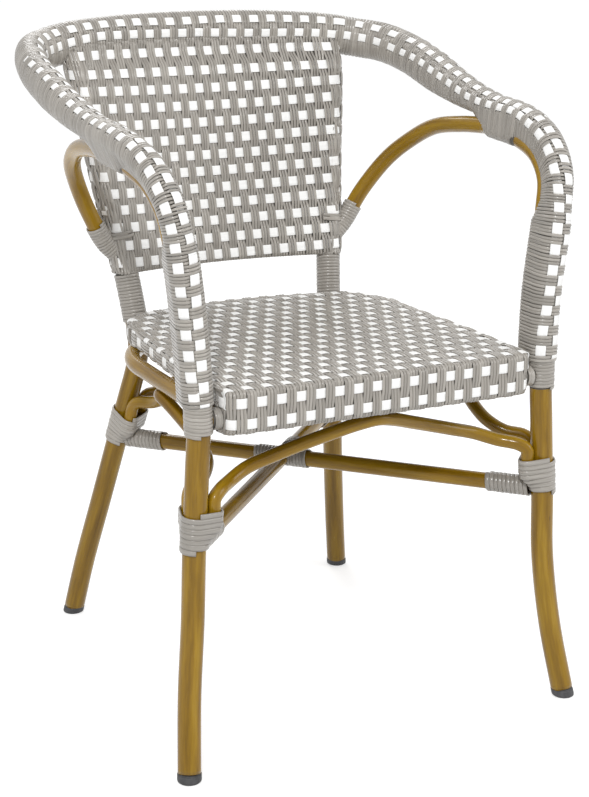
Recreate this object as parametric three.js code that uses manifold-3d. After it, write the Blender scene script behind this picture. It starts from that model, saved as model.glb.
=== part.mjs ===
// Woven bistro armchair on a bent tube frame.
// Millimetres, +Z up, the chair faces -Y, origin on the floor in the middle of its box.
// Lengths are worked out from the named sizes below, and a name that ends in share or
// shares holds fractions of such a size.
import * as THREE from 'three';
import { mergeVertices } from 'three/addons/utils/BufferGeometryUtils.js';
import Module from 'manifold-3d';

const wasm = await Module();
wasm.setup();

// Tubes
const mainRadius = 13.5;
const braceRadius = 10.5;
const archRadius = 8;
const stretcherRadius = 10;
const ringRadius = 10;
const seatFrameRadius = 7.4;
const backRailRadius = 10;
const tubeWall = 1.5;

// Clearance between touching pieces, and the overrun of a cutting body
const gap = 0.3;
const overrun = 4;

// Hoop: half width, depth from the front legs to the top rail, height of the top rail
const hoopHalf = 265;
const hoopDepth = 516;
const hoopHeight = 778;
const hoopShares = [
  [0, 1, 1],
  [0.377, 0.988, 0.998],
  [0.698, 0.955, 0.991],
  [0.838, 0.926, 0.983],
  [0.936, 0.87, 0.977],
  [0.989, 0.777, 0.963],
  [1, 0.651, 0.941],
  [0.996, 0.516, 0.92],
  [0.989, 0.36, 0.904],
  [0.981, 0.221, 0.897],
  [0.958, 0.105, 0.874],
  [0.932, 0.038, 0.831],
  [0.902, 0.018, 0.771],
  [0.858, 0.014, 0.643],
  [0.843, 0.004, 0.514],
  [0.853, 0.002, 0.45],
  [0.872, -0.002, 0.334],
  [0.884, -0.006, 0.231],
  [0.918, -0.025, 0.116],
  [0.958, -0.068, 0],
];

// Rear legs, which run on up as the back posts: half spacing and depth of the feet
const rearHalf = 205.7;
const rearDepth = 476.5;
const postTopShare = 0.687;
const rearLegShares = [
  [0.867, 0.99, 0.941],
  [0.783, 0.916, 0.771],
  [0.72, 0.857, 0.643],
  [0.676, 0.81, 0.514],
  [0.685, 0.812, 0.476],
  [0.734, 0.838, 0.405],
  [0.806, 0.884, 0.296],
  [0.857, 0.917, 0.219],
  [0.938, 0.967, 0.1],
  [1, 1, 0],
];

// Foot caps
const capRadius = 14;
const capHeight = 9;
const capChamfer = 1.2;
const capPlugLength = 12;

// Seat, with what its front edge, the arm posts and the wraps beside it leave to its ring
const ringHeight = 410;
const seatFrontDrop = 19;
const seatSideGap = 11;
const beamWall = 4.7;
const ringCorner = 134;
const seatFront = 19;
const seatDepth = 404;
const seatEdge = 5;
const seatSheet = 4;
const seatSkirt = 4;
const seatLip = 2.5;
const frontCornerRadius = 22;
const seatSideShares = [
  [1, 0.2],
  [1.003, 0.28],
  [0.985, 0.43],
  [0.96, 0.6],
  [0.945, 0.7],
  [0.915, 0.81],
  [0.835, 0.9],
  [0.72, 0.95],
  [0.55, 0.973],
  [0.16, 0.998],
];

// Back panel: its lower edge as a share of the way from the ring to the top rail
const panelBottomShare = 0.2065;
const panelWall = 3.7;
const panelBow = 20;
const panelTopBow = 23;
const panelTopShare = 0.7;
const backRailLift = 17;

// Arm braces
const pairOffset = 25.3;
const braceSeatRise = 18;
const braceJoinShare = 0.37;
const braceFootShare = 0.258;
const braceShares = [
  [0.205, -0.005, 0.118],
  [0.445, 0.029, 0.373],
  [0.665, 0.142, 0.624],
  [0.815, 0.292, 0.787],
  [0.9, 0.5, 0.915],
  [0.955, 0.776, 0.976],
];

// Woven sleeves on the hoop, as radii across and along its height: the arm's tapers to the front
const weaveAcross = 20;
const weaveTall = 26;
const armEndAcross = 17.5;
const armEndTall = 18;
const taperFromShare = 0.64;
const taperToShare = 0.43;
const armPatchRadius = 16.8;
const bendFillRadius = 11.5;
const bendFillOffset = 17;
const pairPostRadius = 18.3;
const pairBraceRadius = 14.2;
const patchBraceRadius = 12.3;
const baseWrapRadius = 15.4;
const baseWrapDrop = 17;
const pairTopShare = 0.5;
const bindingFrontShare = 0.217;
const bindingBackShare = 0.357;
const railWeaveShare = 0.86;
const postWrapRadius = 17.4;
const braceWrapRadius = 12.9;
const braceWrapReach = 6;

// Arches under the seat
const archInset = 32;
const sideArchInset = 32;
const archFootRise = 10;
const archFootLength = 40;
const rearArchInset = 8;
const sidePeakShare = 0.32;
const archShares = [
  [0.04, 0.16, 0.1],
  [0.14, 0.68, 0.16],
  [0.27, 1, 0.3],
  [0.42, 0.97, 0.44],
  [0.58, 0.8, 0.6],
  [0.74, 0.5, 0.77],
  [0.88, 0.2, 0.92],
];

// Stretchers
const stretcherShare = 0.649;

// Wound bindings: heights on the legs as shares of the ring's, strand sizes and turns
const bandBottomShare = 0.634;
const bandTopShare = 0.7537;
const bandTurns = 6;
const strandThickness = 2;
const strandSpace = 0.9;
const bindingSlack = 0.4;
const endWrapLength = 42;
const endWrapTurns = 5;
const crossWrapLength = 74;
const crossWrapTurns = 8;
const shortWrapLength = 26;
const shortWrapTurns = 3;
const thinStrand = 2.8;
const thinStrandSpace = 0.8;

// Facets
const mainSides = 10;
const braceSides = 8;
const archSides = 8;
const boreSides = 6;
const thinBoreSides = 5;
const turnStep = THREE.MathUtils.degToRad(17);
const archTurnStep = THREE.MathUtils.degToRad(24);
const strandTurnStep = THREE.MathUtils.degToRad(36);
const stretcherLoopSteps = 8;
const lengthShare = 0.12;
const curveSamples = 900;
const panelSteps = 5;
const panelSegments = 6;
const panelEndSegments = 4;
const outlineSegments = 26;
const cornerSegments = 4;

// Heights that follow the seat ring and the top rail
const aboveRing = (share) => ringHeight + share * (hoopHeight - ringHeight);
const seatFrontBottom = ringHeight - seatFrontDrop;
const panelBottom = aboveRing(panelBottomShare);
const braceBottom = ringHeight + braceSeatRise;
const braceFootHeight = aboveRing(braceFootShare);
const baseWrapBottom = ringHeight - baseWrapDrop;
const pairWrapTop = aboveRing(pairTopShare);
const stretcherHeight = stretcherShare * ringHeight;
const bandBottom = bandBottomShare * ringHeight;
const bandTop = bandTopShare * ringHeight;

// Colours
const bamboo = { color: 0xa8843a, roughness: 0.38, metalness: 0.1 };
const greyWeave = { color: 0xa79f95, roughness: 0.45, metalness: 0 };
const darkRubber = { color: 0x4a4a4c, roughness: 0.6, metalness: 0 };

// Sections
function circle(radius, sides, x = 0, y = 0) {
  return Array.from({ length: sides }, (_, i) => {
    const angle = (2 * Math.PI * i) / sides;
    return new THREE.Vector2(x + radius * Math.cos(angle), y + radius * Math.sin(angle));
  });
}

function oval(tall, across, sides) {
  return circle(1, sides).map((point) => new THREE.Vector2(point.x * tall, point.y * across));
}

function section(outline, ...holes) {
  const shape = new THREE.Shape(outline);
  shape.holes = holes.map((hole) => new THREE.Path(hole));
  return shape;
}

// Routes: stations hold a point and the two directions that span the section there
class Route extends THREE.Curve {
  constructor(stations) {
    super();
    this.stations = stations;
  }

  getSpacedPoints() {
    return this.stations.map((station) => station.p);
  }

  computeFrenetFrames() {
    return {
      tangents: this.stations.map((station) => station.n.clone().cross(station.b)),
      normals: this.stations.map((station) => station.n),
      binormals: this.stations.map((station) => station.b),
    };
  }
}

function sweep(shape, stations) {
  return new THREE.ExtrudeGeometry(shape, {
    steps: stations.length - 1,
    extrudePath: new Route(stations),
  });
}

function blend(from, to, share) {
  return {
    p: from.p.clone().lerp(to.p, share),
    n: from.n.clone().lerp(to.n, share),
    b: from.b.clone().lerp(to.b, share),
  };
}

class Rail {
  constructor(stations) {
    this.stations = stations;
    this.along = [0];
    for (let i = 1; i < stations.length; i += 1) {
      this.along.push(this.along[i - 1] + stations[i].p.distanceTo(stations[i - 1].p));
    }
  }

  get length() {
    return this.along[this.along.length - 1];
  }

  at(distance) {
    const last = this.stations.length - 1;
    let i = this.along.findIndex((value) => value > distance);
    i = i < 1 ? (distance <= 0 ? 1 : last) : i;
    const span = this.along[i] - this.along[i - 1];
    const share = (distance - this.along[i - 1]) / span;
    return blend(this.stations[i - 1], this.stations[i], share);
  }

  slice(from, to) {
    const between = this.stations.filter((_, i) => this.along[i] > from && this.along[i] < to);
    const near = (to - from) / curveSamples;
    const kept = between.filter((station) => {
      const fromStart = station.p.distanceTo(this.at(from).p);
      return fromStart > near && station.p.distanceTo(this.at(to).p) > near;
    });
    return [this.at(from), ...kept, this.at(to)];
  }

  // Distance along the rail where a coordinate takes a value, nearest the rail's end or start
  crossing(axis, value, fromStart = false) {
    const spans = this.stations.map((_, i) => i).slice(1);
    const order = fromStart ? spans : spans.reverse();
    const found = order.find((i) => {
      const before = this.stations[i - 1].p[axis] - value;
      return before <= 0 !== this.stations[i].p[axis] - value <= 0;
    });
    const before = this.stations[found - 1].p[axis];
    const share = (value - before) / (this.stations[found].p[axis] - before);
    return this.along[found - 1] + share * (this.along[found] - this.along[found - 1]);
  }

  height(z) {
    return this.crossing('z', z);
  }

  atHeight(z) {
    return this.at(this.height(z));
  }
}

function carry(normal, tangent) {
  return normal.clone().addScaledVector(tangent, -normal.dot(tangent)).normalize();
}

function railThrough(points, firstNormal, step = turnStep) {
  const curve = new THREE.CatmullRomCurve3(points, false, 'centripetal');
  curve.arcLengthDivisions = 2 * curveSamples;
  const spots = curve.getSpacedPoints(curveSamples);
  const tangents = spots.map((_, i) => curve.getTangentAt(i / curveSamples));
  const reach = lengthShare * hoopHeight;
  const kept = [0];
  for (let i = 1; i < curveSamples; i += 1) {
    const last = kept[kept.length - 1];
    const turned = tangents[i].angleTo(tangents[last]);
    if (turned > step || spots[i].distanceTo(spots[last]) > reach) kept.push(i);
  }
  kept.push(curveSamples);
  let n = firstNormal;
  const stations = kept.map((i) => {
    n = carry(n, tangents[i]);
    return { p: spots[i], n, b: tangents[i].clone().cross(n) };
  });
  return new Rail(stations);
}

function beside(station, n, b) {
  const p = station.p.clone().addScaledVector(station.n, n).addScaledVector(station.b, b);
  return { p, n: station.n, b: station.b };
}

function flip(vector) {
  return new THREE.Vector3(-vector.x, vector.y, vector.z);
}

function mirrored(stations) {
  return stations.map(({ p, n, b }) => ({ p: flip(p), n: flip(n), b: flip(b) })).reverse();
}

function onSide(side, stations) {
  return side.sign > 0 ? stations : mirrored(stations);
}

function bothSides(stations) {
  return [...mirrored(stations), ...stations.slice(1)];
}

// A section of a leaning tube that lies level
function levelled(station, direction) {
  const level = (vector) => vector.clone().addScaledVector(direction, -vector.z / direction.z);
  return { p: station.p, n: level(station.n), b: level(station.b) };
}

function levelEnd(stations) {
  const last = stations[stations.length - 1];
  const direction = last.p.clone().sub(stations[stations.length - 2].p).normalize();
  return [...stations.slice(0, -1), levelled(last, direction)];
}

// Joining and cutting
function solid(geometry) {
  const bare = geometry.clone();
  bare.deleteAttribute('normal');
  bare.deleteAttribute('uv');
  const merged = mergeVertices(bare);
  const vertProperties = new Float32Array(merged.attributes.position.array);
  const triVerts = new Uint32Array(merged.index.array);
  return new wasm.Manifold(new wasm.Mesh({ numProp: 3, vertProperties, triVerts }));
}

function geometryOf(body) {
  const mesh = body.getMesh();
  const geometry = new THREE.BufferGeometry();
  geometry.setAttribute('position', new THREE.BufferAttribute(mesh.vertProperties, 3));
  geometry.setIndex(new THREE.BufferAttribute(mesh.triVerts, 1));
  geometry.computeVertexNormals();
  return geometry;
}

function cut(geometry, ...tools) {
  const body = tools.reduce((left, tool) => left.subtract(solid(tool)), solid(geometry));
  return geometryOf(body);
}

// The main body of a cut, without the crumbs that two curved faces leave where they graze
function mainBody(geometry) {
  const bodies = solid(geometry).decompose();
  return geometryOf(bodies.reduce((best, one) => (one.volume() > best.volume() ? one : best)));
}

function tube(stations, radius, sides, holeSides) {
  return sweep(section(circle(radius, sides), circle(radius - tubeWall, holeSides)), stations);
}

function rod(stations, radius, sides) {
  return sweep(section(circle(radius, sides)), stations);
}

// The scene graph
const chair = new THREE.Group();
const body = new THREE.Group();
chair.add(body);
const sides = [
  { name: 'left', sign: -1 },
  { name: 'right', sign: 1 },
];

function add(name, geometry, look) {
  const mesh = new THREE.Mesh(geometry, new THREE.MeshStandardMaterial(look));
  mesh.name = name;
  body.add(mesh);
}

// Hoop and rear legs: their stations run from the top down to the foot, right side
const front = new THREE.Vector3(0, -1, 0);
const up = new THREE.Vector3(0, 0, 1);

function hoopPoint([x, y, z]) {
  return new THREE.Vector3(x * hoopHalf, y * hoopDepth, z * hoopHeight);
}

function mirroredPoint(point) {
  return new THREE.Vector3(-point.x, point.y, point.z);
}

function hoopRail() {
  const right = hoopShares.map(hoopPoint);
  const left = right.slice(1).map(mirroredPoint).reverse();
  const whole = new THREE.CatmullRomCurve3([...left, ...right], false, 'centripetal');
  whole.arcLengthDivisions = 2 * curveSamples;
  const half = whole.getSpacedPoints(2 * curveSamples).slice(curveSamples);
  const tangents = half.map((_, i) => whole.getTangentAt(0.5 + i / (2 * curveSamples)));
  half[0].x = 0;
  tangents[0].set(1, 0, 0);
  const kept = [0];
  for (let i = 1; i < curveSamples; i += 1) {
    const last = kept[kept.length - 1];
    const turned = tangents[i].angleTo(tangents[last]);
    const far = half[i].distanceTo(half[last]) > lengthShare * hoopHeight;
    if (turned > turnStep || far) kept.push(i);
  }
  kept.push(curveSamples);
  let n = up;
  const stations = kept.map((i) => {
    n = carry(n, tangents[i]);
    return { p: half[i], n, b: tangents[i].clone().cross(n) };
  });
  return new Rail(stations);
}

const hoop = hoopRail();
const footCut = capHeight + gap;

function rearRail() {
  const top = hoop.at(hoop.crossing('x', postTopShare * hoopHalf, true)).p;
  const lower = rearLegShares.map(([x, y, z]) =>
    new THREE.Vector3(x * rearHalf, y * rearDepth, z * hoopHeight));
  return railThrough([top, ...lower], front);
}

const rear = rearRail();

function legStations(rail) {
  return levelEnd(rail.slice(0, rail.height(footCut)));
}

function clearance(stations, radius, count) {
  return rod(stations, (radius + gap) / Math.cos(Math.PI / count), count);
}

const hoopClearance = rod(bothSides(hoop.stations), mainRadius + gap, mainSides);
const rearClearance = (side) => rod(onSide(side, rear.stations), mainRadius + gap, mainSides);

add('hoop_tube', tube(bothSides(legStations(hoop)), mainRadius, mainSides, boreSides), bamboo);

for (const side of sides) {
  const leg = tube(onSide(side, legStations(rear)), mainRadius, mainSides, boreSides);
  add(`rear_leg_${side.name}`, mainBody(cut(leg, hoopClearance)), bamboo);
}

// Foot caps: a plug in the tube's bore and a bevelled foot that stands flat
function footCap(rail) {
  const foot = rail.stations[rail.stations.length - 1];
  const above = rail.stations[rail.stations.length - 2];
  const direction = above.p.clone().sub(foot.p).normalize();
  const bore = (mainRadius - tubeWall) * Math.cos(Math.PI / boreSides);
  const rings = [
    [capHeight + capPlugLength, bore - gap],
    [capHeight, bore - gap],
    [capHeight, capRadius],
    [capChamfer, capRadius],
    [0, capRadius - capChamfer],
  ];
  return rings.map(([height, radius]) => {
    const p = foot.p.clone().addScaledVector(direction, (height - foot.p.z) / direction.z);
    const n = foot.n.clone().multiplyScalar(radius);
    const b = foot.b.clone().multiplyScalar(radius);
    return levelled({ p, n, b }, direction);
  });
}

for (const side of sides) {
  add(`foot_cap_front_${side.name}`, rod(onSide(side, footCap(hoop)), 1, mainSides), darkRubber);
  add(`foot_cap_rear_${side.name}`, rod(onSide(side, footCap(rear)), 1, mainSides), darkRubber);
}

// A rail through given points, and a path whose corners are rounded
function railFrom(points, firstNormal) {
  const last = points.length - 1;
  let n = firstNormal;
  const stations = points.map((p, i) => {
    const before = points[Math.max(i - 1, 0)];
    const after = points[Math.min(i + 1, last)];
    const into = p.clone().sub(before).normalize();
    const out = after.clone().sub(p).normalize();
    const tangent = into.add(out).normalize();
    n = carry(n, tangent);
    return { p, n, b: tangent.clone().cross(n) };
  });
  return new Rail(stations);
}

function rounded(corner, before, after, radius) {
  const back = before.clone().sub(corner).normalize();
  const on = after.clone().sub(corner).normalize();
  const half = back.angleTo(on) / 2;
  const middle = back.clone().add(on).normalize();
  const centre = corner.clone().addScaledVector(middle, radius / Math.sin(half));
  const reach = radius / Math.tan(half);
  const start = corner.clone().addScaledVector(back, reach).sub(centre);
  const end = corner.clone().addScaledVector(on, reach).sub(centre);
  const sweepAngle = start.angleTo(end);
  const axis = start.clone().cross(end).normalize();
  return Array.from({ length: cornerSegments + 1 }, (_, i) => {
    const turn = (sweepAngle * i) / cornerSegments;
    return start.clone().applyAxisAngle(axis, turn).add(centre);
  });
}

// Seat ring, a bare tube bent round the sides and back under the seat, and its front rail
function frontFaceOf(rail, low, high) {
  const heights = [low, (low + high) / 2, high];
  const depths = heights.map((z) => rail.atHeight(z).p.y);
  const leanShare = 1.04;
  return Math.min(...depths) - mainRadius * leanShare;
}

const legAtRing = hoop.atHeight(ringHeight).p;
const seatHalf = legAtRing.x - mainRadius - seatSideGap;
const beamDepth = legAtRing.y + seatFront + ringRadius + gap + beamWall;
const ringSide = legAtRing.x - mainRadius - gap - ringRadius;
const ringRear = frontFaceOf(rear, ringHeight - ringRadius, ringHeight + ringRadius) - gap - ringRadius;

function ringRail() {
  const corner = new THREE.Vector3(ringSide, ringRear, ringHeight);
  const middle = new THREE.Vector3(0, ringRear, ringHeight);
  const end = new THREE.Vector3(ringSide, legAtRing.y + ringRadius + gap, ringHeight);
  const right = [middle, ...rounded(corner, middle, end, ringCorner), end];
  const left = right.slice(1).map(flip).reverse();
  return railFrom([...left, ...right], up);
}

const ring = ringRail();

function frontRailStations(reach) {
  const end = new THREE.Vector3(reach, legAtRing.y, legAtRing.z);
  return railFrom([flip(end), end], up).stations;
}

const frontRail = frontRailStations(legAtRing.x - mainRadius - gap);
const frontRailClearance = clearance(frontRailStations(legAtRing.x), ringRadius, braceSides);
const ringClearance = clearance(ring.stations, ringRadius, braceSides);
add('seat_ring', tube(ring.stations, ringRadius, braceSides, thinBoreSides), bamboo);
add('front_seat_rail', tube(frontRail, ringRadius, braceSides, thinBoreSides), bamboo);

// Seat: a tray of woven sheet over a hidden frame tube, deeper along its front edge
const seatBottom = ringHeight + ringRadius + gap;
const pocketBottom = seatBottom + seatLip;
const pocketTop = pocketBottom + 2 * (seatFrameRadius + gap);
const seatTop = pocketTop + seatSheet;

function seatSpan() {
  const rim = new THREE.Vector2(seatHalf, frontCornerRadius - seatFront);
  const sidePoints = seatSideShares.map(([x, y]) =>
    new THREE.Vector2(x * seatHalf, y * seatDepth - seatFront));
  const right = [rim, ...sidePoints];
  const left = right.map((point) => new THREE.Vector2(-point.x, point.y)).reverse();
  const rear = new THREE.Vector2(0, seatDepth - seatFront);
  return new THREE.SplineCurve([...right, rear, ...left]).getSpacedPoints(outlineSegments);
}

function frontCorner(sign, inset) {
  const radius = Math.max(frontCornerRadius - inset, seatEdge);
  const x = seatHalf - inset - radius;
  const y = inset + radius - seatFront;
  return Array.from({ length: cornerSegments + 1 }, (_, i) => {
    const turn = (Math.PI / 2) * (sign > 0 ? i / cornerSegments : 1 - i / cornerSegments);
    const across = x + radius * Math.sin(turn);
    return new THREE.Vector2(sign * across, y - radius * Math.cos(turn));
  });
}

function seatOutline(inset) {
  const span = seatSpan();
  const moved = span.map((point, i) => {
    const before = span[Math.max(i - 1, 0)];
    const after = span[Math.min(i + 1, span.length - 1)];
    const along = after.clone().sub(before).normalize();
    return new THREE.Vector2(point.x - inset * along.y, point.y + inset * along.x);
  });
  const right = frontCorner(1, inset);
  const cornerEnd = right[right.length - 1].y + seatEdge;
  return [...right, ...moved.filter((point) => point.y > cornerEnd), ...frontCorner(-1, inset)];
}

function prism(outline, low, high, edge = 0) {
  const geometry = new THREE.ExtrudeGeometry(section(outline), {
    depth: high - low - 2 * edge,
    bevelEnabled: edge > 0,
    bevelThickness: edge,
    bevelSize: edge,
    bevelOffset: -edge,
    bevelSegments: 2,
  });
  return geometry.translate(0, 0, low + edge);
}

function frontBox() {
  const box = new THREE.BoxGeometry(2 * (seatHalf + overrun), beamDepth + overrun, hoopHeight);
  return box.translate(0, (beamDepth - overrun) / 2 - seatFront, 0);
}

function seatWeave() {
  const sheet = solid(prism(seatOutline(0), seatBottom, seatTop, seatEdge));
  const deep = solid(prism(seatOutline(0), seatFrontBottom, seatTop, seatEdge));
  const beam = deep.intersect(solid(frontBox().translate(0, 0, hoopHeight / 2)));
  const pocket = prism(seatOutline(seatSkirt), pocketBottom, pocketTop);
  const mouth = prism(seatOutline(beamDepth), seatBottom - overrun, pocketBottom + overrun);
  const shell = geometryOf(sheet.add(beam));
  const legs = sides.map(rearClearance);
  return cut(shell, pocket, mouth, frontRailClearance, ringClearance, ...legs);
}

add('seat_weave', seatWeave(), greyWeave);

function seatFrame() {
  const inset = seatSkirt + 2 * gap + seatFrameRadius;
  const height = (pocketBottom + pocketTop) / 2;
  const outline = seatOutline(inset).filter((_, i) => i % 2 === 0);
  const rear = outline.reduce((best, point, i) => (point.y > outline[best].y ? i : best), 0);
  const turned = [...outline.slice(rear), ...outline.slice(0, rear)];
  const points = turned.map((point) => new THREE.Vector3(point.x, point.y, height));
  const start = points[0];
  const last = points[points.length - 1];
  const share = gap / last.distanceTo(start);
  return railFrom([...points, start.clone().lerp(last, share)], up).stations;
}

add('seat_frame', rod(seatFrame(), seatFrameRadius, archSides), bamboo);

// Back: a woven sleeve round both posts and the bottom rail, bowed to the rear
const panelTilt = rear.atHeight(panelBottom + backRailLift).p.clone()
  .sub(rear.at(0).p).normalize();
const panelInner = (mainRadius + gap) / Math.abs(panelTilt.z) + gap;
const panelHalf = panelInner + panelWall;

function capsule(spacing, radius) {
  const ends = [1, -1].map((sign) => Array.from({ length: panelEndSegments + 1 }, (_, i) => {
    const angle = Math.PI * (i / panelEndSegments - 0.5);
    const x = sign * (spacing + radius * Math.cos(angle));
    return new THREE.Vector2(x, sign * radius * Math.sin(angle));
  }));
  const middle = [1, -1].map((sign) => Array.from({ length: panelSegments - 1 }, (_, i) => {
    const share = 1 - (2 * (i + 1)) / panelSegments;
    return new THREE.Vector2(sign * spacing * share, sign * radius);
  }));
  return [...ends[0], ...middle[0], ...ends[1], ...middle[1]];
}

function panelPlace(share, across, extra, thick) {
  const railTop = hoop.at(hoop.crossing('x', Math.abs(across) * postTopShare * hoopHalf, true)).p.z;
  const top = railTop - panelTopShare * weaveTall;
  const z = panelBottom + share * (top - panelBottom);
  const post = rear.atHeight(z).p;
  const bow = panelBow + share * (panelTopBow - panelBow);
  const y = post.y + thick + bow * (1 - across * across);
  return new THREE.Vector3(across * post.x + extra, y, z);
}

function panelBody(radius, bore) {
  const spacing = rear.atHeight(panelBottom).p.x;
  const shape = section(capsule(spacing, radius), capsule(spacing, bore));
  const geometry = new THREE.ExtrudeGeometry(shape, {
    depth: hoopHeight,
    steps: panelSteps,
    bevelEnabled: false,
  });
  const place = geometry.attributes.position;
  for (let i = 0; i < place.count; i += 1) {
    const across = THREE.MathUtils.clamp(place.getX(i) / spacing, -1, 1);
    const extra = place.getX(i) - across * spacing;
    const point = panelPlace(place.getZ(i) / hoopHeight, across, extra, place.getY(i));
    place.setXYZ(i, point.x, point.y, point.z);
  }
  return geometry;
}

// Woven sleeves along the hoop
const cornerAt = hoop.crossing('x', railWeaveShare * hoopHalf, true);
const bindingBackAt = hoop.crossing('y', bindingBackShare * hoopDepth);
const bindingFrontAt = hoop.crossing('y', bindingFrontShare * hoopDepth);
const pairTopAt = hoop.height(pairWrapTop);
const pairBottomAt = hoop.height(braceBottom);
const baseWrapAt = hoop.height(baseWrapBottom);
const mainBore = circle(mainRadius + gap, mainSides);
const braceBore = circle(braceRadius + gap, braceSides, -pairOffset, 0);

// Points round a band over one or more circles: a lone circle's facets lie over its tube's own
function hullPoints(circles, step) {
  const count = Math.round((2 * Math.PI) / step);
  const fine = 15;
  const support = (angle) => {
    const reach = circles.map(({ n, b, r }) => n * Math.cos(angle) + b * Math.sin(angle) + r);
    return reach.indexOf(Math.max(...reach));
  };
  const points = [];
  const swell = circles.length > 1 ? 1 / Math.cos(step / 2) : 1;
  let before = support(0);
  for (let i = 0; i < count * fine; i += 1) {
    const angle = (2 * Math.PI * i) / (count * fine);
    const now = support(angle);
    const owners = now === before ? [] : [before, now];
    if (i % fine === 0 && owners.length === 0) owners.push(now);
    for (const owner of owners) {
      const { n, b, r } = circles[owner];
      const radius = r * swell;
      points.push({ angle, x: n + radius * Math.cos(angle), y: b + radius * Math.sin(angle) });
    }
    before = now;
  }
  return points;
}

function pairOutline(postRadius, rodRadius, offset) {
  const circles = [{ n: 0, b: 0, r: postRadius }, { n: -offset, b: 0, r: rodRadius }];
  const step = (2 * Math.PI) / mainSides;
  return hullPoints(circles, step).map(({ x, y }) => new THREE.Vector2(x, y));
}

const ovalWeave = section(oval(weaveTall, weaveAcross, mainSides), mainBore);
const taperedWeave = section(circle(1, mainSides));
const pairWeave = section(pairOutline(pairPostRadius, pairBraceRadius, pairOffset), mainBore, braceBore);
const patchWeave = section(pairOutline(armPatchRadius, patchBraceRadius, pairOffset), mainBore, braceBore);
const bendWeave = section(pairOutline(armPatchRadius, bendFillRadius, bendFillOffset), mainBore);
const baseWrap = section(circle(baseWrapRadius, mainSides), mainBore);

function tapered(station) {
  const share = station.p.y / hoopDepth;
  const along = THREE.MathUtils.clamp((share - taperToShare) / (taperFromShare - taperToShare), 0, 1);
  const n = station.n.clone().multiplyScalar(armEndTall + along * (weaveTall - armEndTall));
  const b = station.b.clone().multiplyScalar(armEndAcross + along * (weaveAcross - armEndAcross));
  return { p: station.p, n, b };
}

const railWeave = bothSides(hoop.slice(0, cornerAt));
const railWeaveClearance = sweep(
  section(oval(weaveTall + gap, weaveAcross + gap, mainSides)),
  bothSides(hoop.slice(0, cornerAt + overrun)),
);
const posts = sides.map(rearClearance);
add('top_rail_weave', cut(sweep(ovalWeave, railWeave), ...posts), greyWeave);
const panel = mainBody(cut(panelBody(panelHalf, panelInner), railWeaveClearance, ...posts));
add('back_weave', panel, greyWeave);

function backRail() {
  const height = panelBottom + backRailLift;
  const share = backRailLift / (hoopHeight - panelBottom);
  const half = Array.from({ length: panelSegments / 2 + 1 }, (_, i) => {
    const place = panelPlace(share, (2 * i) / panelSegments, 0, 0);
    return place.setZ(height);
  });
  return railFrom([...half.slice(1).map(flip).reverse(), ...half], up).stations;
}

const backRailTube = tube(backRail(), backRailRadius, braceSides, thinBoreSides);
add('back_bottom_rail', cut(backRailTube, ...posts), bamboo);

// Arm brace: from the back post up under the arm, then beside the hoop down to the seat
function braceRail() {
  const joinAt = hoop.crossing('y', braceJoinShare * hoopDepth);
  const pair = hoop.slice(joinAt, pairBottomAt).map((station) => beside(station, -pairOffset, 0));
  const join = pair[0];
  const foot = rear.atHeight(braceFootHeight).p;
  const free = braceShares.map(([x, y, z]) => new THREE.Vector3(
    foot.x + x * (join.p.x - foot.x),
    foot.y + y * (join.p.y - foot.y),
    foot.z + z * (join.p.z - foot.z),
  ));
  const curve = railThrough([join.p, ...free.reverse(), foot], join.n);
  const back = curve.stations.map(({ p, n, b }) => ({ p, n, b: b.clone().negate() }));
  return new Rail([...back.slice(1).reverse(), ...pair]);
}

const brace = braceRail();

// Distance along the brace at which it comes clear of the back's woven edge
function braceClear() {
  const reach = panelHalf + gap + braceWrapRadius;
  const distances = Array.from({ length: curveSamples }, (_, i) => (brace.length * i) / curveSamples);
  return distances.find((distance) => {
    const { p } = brace.at(distance);
    return p.distanceTo(rear.atHeight(p.z).p) > reach;
  });
}

const braceWrapEnd = braceClear() + braceWrapReach;
const panelEdge = (side) => clearance(onSide(side, rear.stations), panelHalf + gap, mainSides);

for (const side of sides) {
  const stations = onSide(side, brace.stations);
  const edge = panelEdge(side);
  const braceTube = tube(stations, braceRadius, braceSides, thinBoreSides);
  const braceGap = rod(stations, braceRadius + gap, braceSides);
  add(`arm_brace_${side.name}`, cut(braceTube, edge), bamboo);

  const endSection = section(circle(braceWrapRadius, braceSides), circle(braceRadius + gap, braceSides));
  const endWrap = sweep(endSection, onSide(side, brace.slice(0, braceWrapEnd)));
  add(`brace_end_wrap_${side.name}`, cut(endWrap, edge), greyWeave);

  const armStations = onSide(side, hoop.slice(cornerAt + gap, bindingBackAt - gap).map(tapered));
  const arm = cut(sweep(taperedWeave, armStations), hoopClearance, braceGap);
  add(`arm_weave_${side.name}`, arm, greyWeave);

  const bindStations = onSide(side, hoop.slice(bindingBackAt, bindingFrontAt));
  add(`arm_binding_${side.name}`, sweep(patchWeave, bindStations), greyWeave);

  const bendStations = onSide(side, hoop.slice(bindingFrontAt + gap, pairTopAt - gap));
  add(`arm_bend_weave_${side.name}`, cut(sweep(bendWeave, bendStations), braceGap), greyWeave);

  const pairStations = onSide(side, hoop.slice(pairTopAt, pairBottomAt));
  add(`arm_post_weave_${side.name}`, sweep(pairWeave, pairStations), greyWeave);

  const baseStations = onSide(side, hoop.slice(pairBottomAt + gap, baseWrapAt));
  const base = cut(sweep(baseWrap, baseStations), frontRailClearance, ringClearance);
  add(`front_post_wrap_${side.name}`, base, greyWeave);
}

// Back post wraps, between the seat and the woven back
function levelEnds(stations) {
  const first = stations[0];
  const direction = stations[1].p.clone().sub(first.p).normalize();
  return levelEnd([levelled(first, direction), ...stations.slice(1)]);
}

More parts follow.
